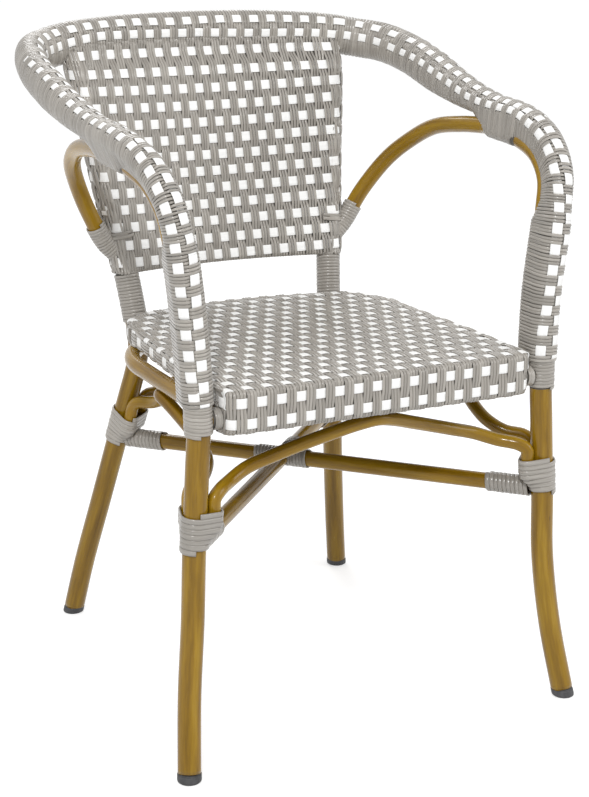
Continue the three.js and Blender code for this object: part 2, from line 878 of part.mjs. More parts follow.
for (const side of sides) {
  const from = rear.height(panelBottom - gap);
  const stations = levelEnds(rear.slice(from, rear.height(seatTop + gap)));
  const wrap = section(circle(postWrapRadius, mainSides), mainBore);
  add(`back_post_wrap_${side.name}`, sweep(wrap, onSide(side, stations)), greyWeave);
}

// Arches: each foot stands beside a leg, inside the leg's binding
const archFoot = mainRadius + archRadius + gap;

function archFeet(rail, n, b) {
  const top = bandTop + archFootRise;
  const low = bandTop - archFootLength;
  const shares = [0, 0.4, 0.75, 1];
  return shares.map((share) => beside(rail.atHeight(low + share * (top - low)), n, b).p);
}

function archHalf(feet, peak, inset) {
  const top = feet[feet.length - 1];
  const rows = archShares.map(([along, inward, rise]) => {
    const point = top.clone().lerp(peak, along).addScaledVector(inset, inward);
    return point.setZ(top.z + rise * (peak.z - top.z));
  });
  return [...feet, ...rows];
}

function archRail(firstHalf, peak, secondHalf) {
  return railThrough([...firstHalf, peak, ...secondHalf.reverse()], front, archTurnStep).stations;
}

const underRing = ringHeight - ringRadius - gap - archRadius;
const frontPeak = new THREE.Vector3(0, legAtRing.y, seatFrontBottom - gap - archRadius);
const rearPeak = new THREE.Vector3(0, ringRear, underRing);
const sidePeak = new THREE.Vector3(ringSide, sidePeakShare * hoopDepth, underRing);

const frontHalf = archHalf(archFeet(hoop, 0, archFoot), frontPeak, new THREE.Vector3(0, archInset, 0));
const rearHalfArch = archHalf(archFeet(rear, 0, archFoot), rearPeak, new THREE.Vector3(0, -rearArchInset, 0));
const sideInset = new THREE.Vector3(-sideArchInset, 0, 0);
const sideFront = archHalf(archFeet(hoop, -archFoot, 0), sidePeak, sideInset);
const sideRear = archHalf(archFeet(rear, archFoot, 0), sidePeak, sideInset);

const frontArch = archRail(frontHalf, frontPeak, frontHalf.map(flip));
const rearArch = archRail(rearHalfArch, rearPeak, rearHalfArch.map(flip));
const sideArch = archRail(sideFront, sidePeak, sideRear);
add('front_arch', cut(rod(frontArch, archRadius, archSides), hoopClearance), bamboo);
add('rear_arch', cut(rod(rearArch, archRadius, archSides), ...posts), bamboo);
for (const side of sides) {
  const arch = rod(onSide(side, sideArch), archRadius, archSides);
  add(`side_arch_${side.name}`, cut(arch, hoopClearance, rearClearance(side)), bamboo);
}

// Bindings: one flat strand wound round a leg and the arch feet beside it, or round a tube
const strandSection = [
  new THREE.Vector2(-1, -1),
  new THREE.Vector2(0.2, -1),
  new THREE.Vector2(1, 0),
  new THREE.Vector2(0.2, 1),
  new THREE.Vector2(-1, 1),
];

function winding(rail, from, to, circles, turns, thickness, space, step) {
  const pitch = (to - from + space) / (turns + 1);
  const width = pitch - space;
  const padded = circles.map(({ n, b, r }) => ({ n, b, r: r + gap + thickness / 2 }));
  const loop = hullPoints(padded, step);
  const count = turns * loop.length;
  const stations = Array.from({ length: count + 1 }, (_, i) => {
    const { angle, x, y } = loop[i % loop.length];
    const base = rail.at(from + width / 2 + (pitch * i) / loop.length);
    const outward = base.n.clone().multiplyScalar(Math.cos(angle))
      .addScaledVector(base.b, Math.sin(angle)).normalize();
    const axis = base.b.clone().cross(base.n).normalize();
    return {
      p: beside(base, x, y).p,
      n: outward.multiplyScalar(thickness / 2),
      b: axis.multiplyScalar(width / 2),
    };
  });
  return { stations, loop: loop.length };
}

function leastGap({ stations, loop }) {
  const corners = stations.map(({ p, b }) => [p.clone().add(b), p.clone().sub(b)]);
  let least = Infinity;
  for (let i = 0; i < corners.length; i += 1) {
    for (let j = i + Math.ceil(loop / 2); j < corners.length; j += 1) {
      for (const one of corners[i]) {
        for (const other of corners[j]) least = Math.min(least, one.distanceTo(other));
      }
    }
  }
  return least;
}

function addWinding(name, wound, side) {
  console.log(`${name}: least gap between turns ${leastGap(wound).toFixed(2)} mm`);
  add(name, sweep(section(strandSection), onSide(side, wound.stations)), greyWeave);
}

function bandCircles(sideFoot) {
  const slack = archRadius + bindingSlack;
  return [
    { n: 0, b: 0, r: mainRadius },
    { n: 0, b: archFoot, r: slack },
    { n: sideFoot, b: 0, r: slack },
  ];
}

const frontBand = bandCircles(-archFoot);
const rearBand = bandCircles(archFoot);

function band(rail, circles) {
  const from = rail.height(bandTop);
  const to = rail.height(bandBottom);
  return winding(rail, from, to, circles, bandTurns, strandThickness, strandSpace, strandTurnStep);
}

const frontWinding = band(hoop, frontBand);
const rearWinding = band(rear, rearBand);
for (const side of sides) {
  addWinding(`leg_binding_front_${side.name}`, frontWinding, side);
  addWinding(`leg_binding_rear_${side.name}`, rearWinding, side);
}

// Stretchers: one straight tube through, and two halves whose ends butt against its wrap
const wrapSkin = stretcherRadius + gap + thinStrand;

function bandReach(station, circles, direction) {
  const n = direction.dot(station.n);
  const b = direction.dot(station.b);
  const long = Math.hypot(n, b);
  const skin = (gap + strandThickness) / Math.cos(strandTurnStep / 2);
  const reaches = circles.map((one) =>
    (one.n * n + one.b * b) / long + one.r / Math.cos(strandTurnStep / 2));
  const axis = station.b.clone().cross(station.n);
  const lean = Math.abs(direction.dot(axis) / axis.z) * wrapSkin;
  return Math.max(...reaches) + skin + gap + lean;
}

function stretcherRail() {
  const nearLeg = hoop.atHeight(stretcherHeight);
  const farLeg = rear.atHeight(stretcherHeight);
  const far = { p: flip(farLeg.p), n: flip(farLeg.n), b: flip(farLeg.b) };
  const direction = far.p.clone().sub(nearLeg.p).normalize();
  const start = nearLeg.p.clone().addScaledVector(direction, bandReach(nearLeg, frontBand, direction));
  const back = direction.clone().negate();
  const end = far.p.clone().addScaledVector(back, bandReach(far, rearBand, back));
  return railFrom([start, end], up);
}

const stretcher = stretcherRail();
const middleAt = stretcher.crossing('x', 0);
const [left, right] = sides;
const tubeCircle = [{ n: 0, b: 0, r: stretcherRadius }];

function tubeWinding(rail, from, long, turns) {
  const step = (2 * Math.PI) / stretcherLoopSteps;
  return winding(rail, from, from + long, tubeCircle, turns, thinStrand, thinStrandSpace, step);
}

const wrapClearance = clearance(stretcher.stations, wrapSkin, mainSides);

function stretcherTube(from, to) {
  return tube(stretcher.slice(from, to), stretcherRadius, braceSides, thinBoreSides);
}

function halfStretcher(from, to) {
  const half = tube(mirrored(stretcher.slice(from, to)), stretcherRadius, braceSides, thinBoreSides);
  return cut(half, wrapClearance);
}

add('stretcher_through', stretcherTube(0, stretcher.length), bamboo);
add('stretcher_half_front', halfStretcher(0, middleAt), bamboo);
add('stretcher_half_rear', halfStretcher(middleAt, stretcher.length), bamboo);

const rearWrapAt = stretcher.length - endWrapLength - gap;
const endWraps = [
  ['stretcher_wrap_front_right', gap, right],
  ['stretcher_wrap_rear_left', rearWrapAt, right],
  ['stretcher_wrap_front_left', gap, left],
  ['stretcher_wrap_rear_right', rearWrapAt, left],
];
for (const [name, from, side] of endWraps) {
  addWinding(name, tubeWinding(stretcher, from, endWrapLength, endWrapTurns), side);
}

const crossFrom = middleAt - crossWrapLength / 2;
const shortFrom = middleAt + 2 * wrapSkin + gap;
addWinding('crossing_wrap', tubeWinding(stretcher, crossFrom, crossWrapLength, crossWrapTurns), right);
addWinding('crossing_wrap_short', tubeWinding(stretcher, shortFrom, shortWrapLength, shortWrapTurns), left);

// The origin lies on the floor in the middle of the box
const box = new THREE.Box3().setFromObject(body);
body.position.y = -(box.min.y + box.max.y) / 2;

export default chair;
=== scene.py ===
"""Looks of a woven bistro armchair: bent tubes, woven seat, arms and back, wound bindings.

Lengths are in millimetres while a shape is made, and in metres once it is a mesh.
"""

from math import cos, pi, radians, sin

import bpy
import numpy as np
from mathutils import Matrix, Vector


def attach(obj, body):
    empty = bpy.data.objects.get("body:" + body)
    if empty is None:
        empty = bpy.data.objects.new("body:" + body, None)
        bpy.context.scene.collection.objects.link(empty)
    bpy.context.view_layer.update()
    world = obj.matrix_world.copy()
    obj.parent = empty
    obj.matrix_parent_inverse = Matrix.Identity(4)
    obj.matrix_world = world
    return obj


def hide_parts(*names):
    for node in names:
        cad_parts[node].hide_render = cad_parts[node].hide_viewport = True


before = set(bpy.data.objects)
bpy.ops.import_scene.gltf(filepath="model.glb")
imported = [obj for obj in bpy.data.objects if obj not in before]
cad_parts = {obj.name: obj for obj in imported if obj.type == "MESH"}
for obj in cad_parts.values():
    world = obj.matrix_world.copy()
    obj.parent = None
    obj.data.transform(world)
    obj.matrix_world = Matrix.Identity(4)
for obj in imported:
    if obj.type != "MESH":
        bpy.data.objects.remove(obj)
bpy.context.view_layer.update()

MM = 0.001
random = np.random.default_rng(11)

# Sizes that the frame was made with
SHIFT_Y = -242.889
HOOP_SIZE = np.array([265.0, 516.0, 778.0])
HOOP_SHARES = np.array([
    [0, 1, 1], [0.377, 0.988, 0.998], [0.698, 0.955, 0.991], [0.838, 0.926, 0.983],
    [0.936, 0.87, 0.977], [0.989, 0.777, 0.963], [1, 0.651, 0.941], [0.996, 0.516, 0.92],
    [0.989, 0.36, 0.904], [0.981, 0.221, 0.897], [0.958, 0.105, 0.874], [0.932, 0.038, 0.831],
    [0.902, 0.018, 0.771], [0.858, 0.014, 0.643], [0.843, 0.004, 0.514], [0.853, 0.002, 0.45],
    [0.872, -0.002, 0.334], [0.884, -0.006, 0.231], [0.918, -0.025, 0.116], [0.958, -0.068, 0],
])
REAR_SIZE = np.array([205.7, 476.5, 778.0])
REAR_SHARES = np.array([
    [0.867, 0.99, 0.941], [0.783, 0.916, 0.771], [0.72, 0.857, 0.643], [0.676, 0.81, 0.514],
    [0.685, 0.812, 0.476], [0.734, 0.838, 0.405], [0.806, 0.884, 0.296],
    [0.857, 0.917, 0.219], [0.938, 0.967, 0.1], [1, 1, 0],
])
POST_TOP_SHARE = 0.687
BRACE_SHARES = np.array([
    [0.205, -0.005, 0.118], [0.445, 0.029, 0.373], [0.665, 0.142, 0.624],
    [0.815, 0.292, 0.787], [0.9, 0.5, 0.915], [0.955, 0.776, 0.976],
])
MAIN_R, BRACE_R, ARCH_R, STRETCHER_R, RING_R = 13.5, 10.5, 8.0, 10.0, 10.0
GAP = 0.3
RING_Z = 410.0
RING_CORNER = 134.0
PAIR = 25.3
BRACE_BOTTOM = 428.0
BRACE_JOIN_SHARE = 0.37
BRACE_FOOT_Z = 504.94
SEAT_HALF, SEAT_FRONT, SEAT_DEPTH, SEAT_CORNER = 199.9, 19.0, 404.0, 22.0
SEAT_SHARES = np.array([
    [1, 0.2], [1.003, 0.28], [0.985, 0.43], [0.96, 0.6], [0.945, 0.7], [0.915, 0.81],
    [0.835, 0.9], [0.72, 0.95], [0.55, 0.973], [0.16, 0.998],
])
SEAT_TOP, SEAT_LOW, SEAT_FRONT_LOW = 442.2, 420.3, 391.0
BEAM = 35.0
PANEL_BOTTOM, PANEL_BOW, PANEL_TOP_BOW, PANEL_HALF = 486.0, 20.0, 23.0, 18.87
PANEL_TOP_SHARE = 0.7
WEAVE_TALL, WEAVE_ACROSS = 26.0, 20.0
ARM_TALL, ARM_ACROSS, TAPER_FROM, TAPER_TO = 18.0, 17.5, 0.64, 0.43
BINDING_BACK, BINDING_FRONT = 0.357, 0.217
PAIR_TOP, BASE_BOTTOM = 594.0, 393.0
BAND_TOP, BAND_BOTTOM = 309.0, 260.0
FOOT_TOP = 9.0

UP = np.array([0.0, 0.0, 1.0])
RIGHT = np.array([1.0, 0.0, 0.0])
BACK = np.array([0.0, 1.0, 0.0])
MIRROR = np.array([-1.0, 1.0, 1.0])
SIDES = (("left", MIRROR), ("right", 1))


# Curves
def unit(v):
    return v / np.linalg.norm(v, axis=-1, keepdims=True)


def along(points):
    """Distance along a line of points."""
    return np.concatenate([[0], np.cumsum(np.linalg.norm(np.diff(points, axis=0), axis=1))])


def pick(s, at, values):
    """Rows of values at the distances s."""
    return np.stack([np.interp(s, at, column) for column in values.T], -1)


def stations(start, end, spacing):
    return np.linspace(start, end, max(int((end - start) / spacing), 2) + 1)


def evenly(points, spacing):
    points = np.asarray(points, float)
    s = along(points)
    count = max(int(round(s[-1] / spacing)), 2)
    return pick(np.linspace(0, s[-1], count + 1), s, points)


def way_of(line):
    return unit(np.gradient(line, axis=0))


def right_of(line, closed=False):
    """Directions to the right of flat lines, which is outwards where they are closed."""
    way = np.roll(line, -1, -2) - np.roll(line, 1, -2) if closed else np.gradient(line, axis=-2)
    return unit(np.stack([way[..., 1], -way[..., 0]], -1))


def xyz(x, y, z):
    """Points in space, from lists or single numbers."""
    return np.stack(np.broadcast_arrays(x, y, z), -1)


def both_ways(right):
    """A line or grid through the middle, from its right half."""
    return np.concatenate([(right * MIRROR[: right.shape[-1]])[:0:-1], right])


def circle(count):
    a = np.linspace(0, 2 * pi, count, endpoint=False)
    return np.stack([np.cos(a), np.sin(a)], -1)


def smooth_curve(points, spacing=1.5):
    """A centripetal Catmull-Rom curve through points."""
    p = np.asarray(points, float)
    q = np.vstack([2 * p[0] - p[1], p, 2 * p[-1] - p[-2]])
    u = np.linspace(0, 1, 48, endpoint=False)[:, None]
    spans = []
    for a, b, c, d in zip(q, q[1:], q[2:], q[3:]):
        e, f, g = (np.linalg.norm(w - v) ** 0.5 for v, w in ((a, b), (b, c), (c, d)))
        into = f * ((b - a) / e - (c - a) / (e + f) + (c - b) / f)
        out = f * ((c - b) / f - (d - b) / (f + g) + (d - c) / g)
        cubic = (2 * b - 2 * c + into + out) * u**3 + (3 * c - 3 * b - 2 * into - out) * u**2
        spans.append(cubic + into * u + b)
    return evenly(np.vstack([*spans, p[-1:]]), spacing)


def rounded(points, reach):
    """A line whose corners are rounded over a distance."""
    p = np.asarray(points, float)
    u = np.linspace(0, 1, 7)[:, None]
    out = [p[:1]]
    for a, b, c in zip(p, p[1:], p[2:]):
        r = min(reach, 0.48 * np.linalg.norm(a - b), 0.48 * np.linalg.norm(c - b))
        start, end = b + r * unit(a - b), b + r * unit(c - b)
        out.append(start * (1 - u) ** 2 + 2 * b * u * (1 - u) + end * u**2)
    return np.vstack([*out, p[-1:]])


class Rail:
    """A line with a frame carried along it: t along, n and b across."""

    def __init__(self, points, normal):
        self.p = points
        self.s = along(points)
        self.length = self.s[-1]
        self.t = unit(np.gradient(points, axis=0))
        n = np.asarray(normal, float)
        carried = []
        for t in self.t:
            n = unit(n - n.dot(t) * t)
            carried.append(n)
        self.n = np.array(carried)
        self.b = np.cross(self.t, self.n)

    def at(self, s):
        return tuple(pick(s, self.s, v) for v in (self.p, self.n, self.b, self.t))

    def point(self, s):
        return pick(s, self.s, self.p)

    def crossing(self, axis, value, from_start=False):
        v = self.p[:, axis] - value
        found = np.nonzero(np.sign(v[:-1]) != np.sign(v[1:]))[0]
        i = found[0] if from_start else found[-1]
        return self.s[i] + v[i] / (v[i] - v[i + 1]) * (self.s[i + 1] - self.s[i])

    def height(self, z):
        return self.crossing(2, z)

    def depth(self, share):
        return self.crossing(1, share * HOOP_SIZE[1])


whole = smooth_curve(both_ways(HOOP_SHARES * HOOP_SIZE))
half_from = along(whole)[-1] / 2
hoop = Rail(pick(np.linspace(half_from, 2 * half_from, 1100), along(whole), whole), UP)
post_top = hoop.point(hoop.crossing(0, POST_TOP_SHARE * HOOP_SIZE[0], True))
rear = Rail(smooth_curve(np.vstack([post_top, REAR_SHARES * REAR_SIZE])), -BACK)


def brace_rail():
    join, bottom = hoop.depth(BRACE_JOIN_SHARE), hoop.height(BRACE_BOTTOM)
    p, n, _, _ = hoop.at(np.arange(join, bottom, 1.5))
    pair = p - PAIR * n
    foot = rear.point(rear.height(BRACE_FOOT_Z))
    free = foot + BRACE_SHARES * (pair[0] - foot)
    upper = smooth_curve(np.vstack([foot, free, pair[:1]]))
    return Rail(np.vstack([upper[:-1], pair]), -BACK)


brace = brace_rail()


def hull(circles, count):
    """Outline of a band round circles, each (n, b, radius): its points and normals."""
    c, way = np.array(circles, float), circle(720)
    best = (way @ c[:, :2].T + c[:, 2]).argmax(1)
    points = c[best, :2] + c[best, 2:] * way
    closed = np.vstack([points, points[:1]])
    s = along(closed)
    outline = pick(np.linspace(0, s[-1], count, endpoint=False), s, closed)
    return outline, right_of(outline, closed=True)


# Sections of strands, as distances sideways and upwards
STRAND, GROUP, ROW = 4.0, 12.0, 24.0
STRAND_ROUGH = 0.06
RIB = np.radians([22, 62, 118, 158, 222, 318])
RIB_SECTION = np.stack([np.cos(RIB), np.sin(RIB)], -1) * [1.03, 1.0]
STRAND_SECTION = RIB_SECTION * [STRAND / 2, 1.1]
FLAT = np.array([-1, -0.94, -0.5, 0, 0.5, 0.94, 1])
BAND_ACROSS = np.concatenate([FLAT, FLAT[::-1]])
BAND_UP = np.array([1, 2, 2, 2, 2, 2, 1, -1, -2, -2, -2, -2, -2, -1]) / 4
WHITE_THICK = 1.0


def loft(centre, side, rise, shape):
    """Sections of a strand: shape holds distances along side and rise."""
    across = side[..., None, :] * shape[..., 0:1]
    return centre[..., None, :] + across + rise[..., None, :] * shape[..., 1:2]


def around(off, n, b, base=0):
    """Points off a rail, from distances along n and b."""
    return base + off[..., :1] * n + off[..., 1:] * b


def plateau(x, sharp):
    """A cosine with flattened tops."""
    return np.tanh(sharp * np.cos(pi * x)) / np.tanh(sharp)


def smooth_step(x):
    x = np.clip(x, 0, 1)
    return x * x * (3 - 2 * x)


# Meshes
def add_object(name, data):
    made = bpy.data.objects.new(name, data)
    bpy.context.scene.collection.objects.link(made)
    return made


def grain_along(grid):
    """Places in a material's noise: along each strand, and across it."""
    middle = grid.mean(2)
    steps = np.linalg.norm(np.diff(middle, axis=1), axis=2)
    far = np.concatenate([np.zeros((len(grid), 1)), np.cumsum(steps, 1)], 1)
    start = random.uniform(0, 9000, (len(grid), 1))
    reach = np.linalg.norm(grid - middle[:, :, None], axis=3).mean()
    across, deep = reach * circle(grid.shape[2]).T
    return xyz((far + start)[..., None], across + start[..., None] * 0.37, deep)


class Piece:
    """Gathers strands, then makes one mesh of them."""

    def __init__(self):
        self.verts, self.grain, self.tone, self.faces, self.slots = [], [], [], [], []
        self.count = 0

    def add(self, grid, ring=False, slot=0, covered=None, tone=None):
        """Strands as (strand, station, section point, xyz), with ends closed unless ring."""
        if grid.ndim == 3:
            grid = grid[None]
        strands, stations, size, _ = grid.shape
        self.verts.append(grid.reshape(-1, 3))
        self.grain.append(grain_along(grid).reshape(-1, 3))
        tones = random.uniform(0, 1, strands) if tone is None else np.full(strands, tone)
        self.tone.append(np.repeat(tones, stations * size))
        index = np.arange(strands * stations * size).reshape(strands, stations, size)
        inside_out = self.add_sides(grid, index, ring, slot, covered)
        if not ring:
            caps = np.stack([index[:, -1], index[:, 0, ::-1]])
            caps[:, inside_out] = caps[:, inside_out, ::-1]
            self.add_faces(caps, slot)
        self.count += index.size

    def add_sides(self, grid, index, ring, slot, covered):
        """Faces between stations; the strands whose faces had to be turned over."""
        this = index if ring else index[:, :-1]
        after = np.roll(index, -1, 1) if ring else index[:, 1:]
        quads = np.stack([this, np.roll(this, -1, 2), np.roll(after, -1, 2), after], -1)
        a, b, d = (self.verts[-1][quads[..., k]] for k in (0, 1, 3))
        hub = grid.mean(2)[:, : quads.shape[1], None]
        inside_out = (np.cross(b - a, d - a) * (a - hub)).sum((1, 2, 3)) <= 0
        quads[inside_out] = quads[inside_out][..., ::-1]
        slots = np.full(quads.shape[:3], slot)
        # Covered stretches take material 1, the dark grey of painted shade.
        if covered is not None:
            slots[:, covered[: quads.shape[1]]] = 1
        self.add_faces(quads, slots)
        return inside_out

    def add_faces(self, corners, slots):
        """Faces from rows of corners, each with its material's number."""
        rows = corners.reshape(-1, corners.shape[-1]) + self.count
        self.faces.extend(rows.tolist())
        self.slots.extend(np.broadcast_to(slots, corners.shape[:-1]).ravel().tolist())

    def add_white(self, grid, ring=False):
        self.add(grid, ring=ring, slot=2, tone=0.7)

    def build(self, name, node, record_slot="weave"):
        verts = np.vstack(self.verts) * MM
        verts[:, 1] += SHIFT_Y * MM
        mesh = bpy.data.meshes.new(name)
        mesh.from_pydata(verts, [], self.faces)
        for look in LOOKS[record_slot]:
            mesh.materials.append(look)
        mesh.polygons.foreach_set("material_index", self.slots)
        mesh.shade_smooth()
        grain = mesh.attributes.new("grain", "FLOAT_VECTOR", "POINT")
        grain.data.foreach_set("vector", (np.vstack(self.grain) * MM).ravel())
        tone = mesh.attributes.new("tone", "FLOAT", "POINT")
        tone.data.foreach_set("value", np.concatenate(self.tone))
        mesh.update()
        piece = add_object(name, mesh)
        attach(piece, "root")
        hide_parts(node)


def woven(name, node, *parts):
    """A piece from functions that each add strands to it."""
    piece = Piece()
    for part in parts:
        part(piece)
    piece.build(name, node)


# Materials
TONES = (0.84, 1.1)
BUMP, BUMP_DEPTH = 0.35, 0.0004


def preset(tree, node, inputs):
    """Gives each named input of a node its value, or links it to another node's output."""
    for name, value in inputs.items():
        if isinstance(value, bpy.types.NodeSocket):
            tree.links.new(value, node.inputs[name])
        else:
            node.inputs[name].default_value = value


def add_node(tree, kind, output, inputs=(), **settings):
    """A new node's output."""
    node = tree.nodes.new("ShaderNode" + kind)
    for name, value in settings.items():
        setattr(node, name, value)
    preset(tree, node, dict(inputs))
    return node.outputs[output]


def spread(tree, value, low, high, start=0.0, end=1.0):
    """A value that goes from low to high while another goes from start to end."""
    return add_node(tree, "MapRange", 0, {"Value": value, "From Min": start, "From Max": end,
                                          "To Min": low, "To Max": high})


def material(name, colours, streaks, bumps, rough, specular=0.5, coat=0.0, spots=None):
    """A surface coloured by noise stretched along each strand or tube.

    colours are dark to pale, streaks and bumps are (scale along, scale across) per metre.
    """
    made = bpy.data.materials.new(name)
    made.use_nodes = True
    tree = made.node_tree
    grain = add_node(tree, "Attribute", "Vector", attribute_name="grain")
    tone = add_node(tree, "Attribute", "Fac", attribute_name="tone")

    def stretched(scales, detail):
        place = add_node(tree, "VectorMath", 0, {0: grain, 1: (*scales, scales[1])},
                         operation="MULTIPLY")
        return add_node(tree, "TexNoise", "Fac", {"Vector": place, "Scale": 1.0,
                                                  "Detail": detail, "Roughness": 0.6})

    ramp = tree.nodes.new("ShaderNodeValToRGB")
    stops = ramp.color_ramp.elements
    stops.remove(stops[1])
    for i, (place, shade) in enumerate(colours):
        stop = stops.new(place) if i else stops[0]
        stop.position, stop.color = place, (*shade, 1)
    preset(tree, ramp, {"Fac": stretched(streaks, 4)})
    colour = add_node(tree, "VectorMath", 0, {
        "Vector": ramp.outputs["Color"], "Scale": spread(tree, tone, *TONES),
    }, operation="SCALE")
    if spots:
        scales, dark, low, high = spots
        mask = spread(tree, stretched(scales, 3), 0.0, 1.0, low, high)
        colour = add_node(tree, "Mix", "Result", {"Factor": mask, "A": colour, "B": (*dark, 1)},
                          data_type="RGBA")
    fine = stretched(bumps, 3)
    bump = add_node(tree, "Bump", 0, {"Strength": BUMP, "Distance": BUMP_DEPTH, "Height": fine})
    preset(tree, tree.nodes["Principled BSDF"], {
        "Base Color": colour, "Roughness": spread(tree, fine, *rough), "Normal": bump,
        "Specular IOR Level": specular, "Coat Weight": coat, "Coat Roughness": 0.12,
    })
    return made


bamboo = material(
    "bamboo_paint",
    [(0.3, (0.16, 0.082, 0.002)), (0.48, (0.265, 0.145, 0.004)), (0.6, (0.33, 0.19, 0.008)),
     (0.78, (0.42, 0.255, 0.025))],
    (7, 90), (30, 400), (0.18, 0.32), specular=0.2, coat=0.3,
    spots=((16, 60), (0.07, 0.03, 0.006), 0.72, 0.78),
)
grey = material(
    "grey_strand",
    [(0.25, (0.28, 0.258, 0.228)), (0.5, (0.36, 0.335, 0.3)), (0.75, (0.44, 0.413, 0.375))],
    (14, 500), (60, 1600), (0.16, 0.32), coat=0.2,
)
# Painted shade: a dark grey for what lies in the weave's shadow, under strands and inside
# sleeves and the seat.
shadow = material(
    "strand_painted_shade",
    [(0.3, (0.07, 0.064, 0.055)), (0.7, (0.12, 0.11, 0.095))],
    (30, 300), (60, 900), (0.6, 0.8),
)
white = material(
    "white_strand",
    [(0.25, (0.86, 0.86, 0.85)), (0.75, (0.96, 0.96, 0.95))],
    (14, 400), (60, 1400), (0.32, 0.5),
)
rubber = material(
    "foot_rubber",
    [(0.3, (0.035, 0.035, 0.037)), (0.7, (0.075, 0.075, 0.078))],
    (120, 200), (900, 900), (0.5, 0.7),
)
# The second material of the frame and the weave is the painted shade.
LOOKS = {"frame": [bamboo, shadow], "weave": [grey, shadow, white], "caps": [rubber]}


# Tubes
MAIN_SIDES = 32
LEG_START, BRACE_START = 4.0, 6.0


def tube(node, rail, start, end, radius, sides=28, covers=(), turned=1, spacing=5.0,
         word="bamboo"):
    """A piece that is one round tube; covers are the stretches that lie under a sleeve, which
    are coloured with the dark painted shade.
    """
    s = stations(start, end, spacing)
    p, n, b, _ = rail.at(s)
    under = np.zeros(len(s), bool)
    for low, high in covers:
        under |= (s > low) & (s < high)
    piece = Piece()
    piece.add(loft(p, n, b, radius * circle(sides)) * turned, covered=under)
    piece.build(f"{node}_{word}", node, "frame")


def hoop_tube():
    s = np.linspace(0, hoop.height(FOOT_TOP), 300)
    p, n, b, _ = hoop.at(s)
    # Below the base winding the tube is coloured with the dark painted shade.
    under = s < hoop.height(BASE_BOTTOM) - 4
    piece = Piece()
    piece.add(both_ways(loft(p, n, b, MAIN_R * circle(MAIN_SIDES))),
              covered=np.concatenate([under[:0:-1], under]))
    piece.build("hoop_tube_bamboo", "hoop_tube", "frame")


hoop_tube()
# Stretches under sleeves and windings are coloured with the dark painted shade.
rear_covers = [(0, rear.height(SEAT_LOW + 6))]
brace_covers = [(0, 30), (brace.depth(BRACE_JOIN_SHARE) + 10, brace.depth(BINDING_FRONT)),
                (brace.height(PAIR_TOP), brace.length)]
for side, turned in SIDES:
    tube(f"rear_leg_{side}", rear, LEG_START, rear.height(FOOT_TOP), MAIN_R, MAIN_SIDES,
         rear_covers, turned)
    tube(f"arm_brace_{side}", brace, BRACE_START, brace.length, BRACE_R, 24, brace_covers,
         turned, 4.0)


# Foot caps: height and radius up the outside
CAP_SIDES = 40
CAP = [(0, 11.2), (0.5, 12.6), (1.6, 13.8), (3.2, 14.0), (8.2, 14.0), (9.0, 13.7), (9.0, 13.0),
       (10.4, 13.0)]


def foot_cap(corner, rail, turned):
    base, above = rail.point(rail.length), rail.point(rail.length - 20)
    way = unit(above - base)
    rings = [base + way * (height - base[2]) / way[2] + xyz(*(radius * circle(CAP_SIDES).T), 0)
             for height, radius in CAP]
    piece = Piece()
    piece.add(np.array(rings) * turned)
    piece.build(f"cap_{corner}", f"foot_cap_{corner}", "caps")


for side, turned in SIDES:
    foot_cap(f"front_{side}", hoop, turned)
    foot_cap(f"rear_{side}", rear, turned)


# Seat ring and front rail
LEG_SLANT = 1.04


def bent_line(points):
    return Rail(evenly(points, 2.0), UP)


leg_at_ring = hoop.point(hoop.height(RING_Z))
ring_side = leg_at_ring[0] - MAIN_R - GAP - RING_R
leg_middle = min(rear.point(rear.height(RING_Z + up))[1] for up in (-RING_R, 0, RING_R))
leg_front = leg_middle - MAIN_R * LEG_SLANT
ring_rear = leg_front - GAP - RING_R


def ring_line():
    a = np.linspace(pi / 2, 0, 24)
    corner = np.array([ring_side - RING_CORNER, ring_rear - RING_CORNER])
    arc = corner + RING_CORNER * np.stack([np.cos(a), np.sin(a)], -1)
    flat = np.vstack([[0, ring_rear], arc, [ring_side, leg_at_ring[1] + RING_R + GAP]])
    return bent_line(both_ways(xyz(*flat.T, RING_Z)))


ring = ring_line()
tube("seat_ring", ring, 0, ring.length, RING_R)
reach = leg_at_ring[0] - MAIN_R - GAP
front_rail = bent_line([[-reach, leg_at_ring[1], RING_Z], [reach, leg_at_ring[1], RING_Z]])
# The front rail is coloured all over with the dark painted shade.
tube("front_seat_rail", front_rail, 0, front_rail.length, RING_R,
     covers=[(-1, front_rail.length + 1)], word="core")


# Arches
ARCH_SHARES = np.array([
    [0.04, 0.16, 0.1], [0.14, 0.68, 0.16], [0.27, 1, 0.3], [0.42, 0.97, 0.44],
    [0.58, 0.8, 0.6], [0.74, 0.5, 0.77], [0.88, 0.2, 0.92],
])
ARCH_FOOT = MAIN_R + ARCH_R + GAP
ARCH_CUT = 16.0
ARCH_FROM, ARCH_TO = BAND_TOP - 40.0, BAND_TOP + 10.0
SIDE_PEAK_SHARE = 0.32
FRONT_INSET, REAR_INSET, SIDE_INSET = 32 * BACK, -8 * BACK, -32 * RIGHT


def arch_half(rail, n_off, b_off, peak, inset):
    """From beside a leg up to the peak, bowed inwards by inset."""
    heights = [ARCH_FROM + share * (ARCH_TO - ARCH_FROM) for share in (0, 0.4, 0.75, 1)]
    s = np.array([rail.height(z) for z in heights])
    p, n, b, _ = rail.at(s)
    feet = p + n_off * n + b_off * b
    last = feet[-1]
    share, inward, rise = ARCH_SHARES.T[..., None]
    bow = last + share * (peak - last) + inward * inset
    bow[:, 2:] = last[2] + rise * (peak[2] - last[2])
    return np.vstack([feet, bow])


def arch(node, first, peak, second, turned=1):
    rail = Rail(smooth_curve(np.vstack([first, peak, second[::-1]])), -BACK)
    tube(node, rail, ARCH_CUT, rail.length - ARCH_CUT, ARCH_R, 22, turned=turned, spacing=4.0)


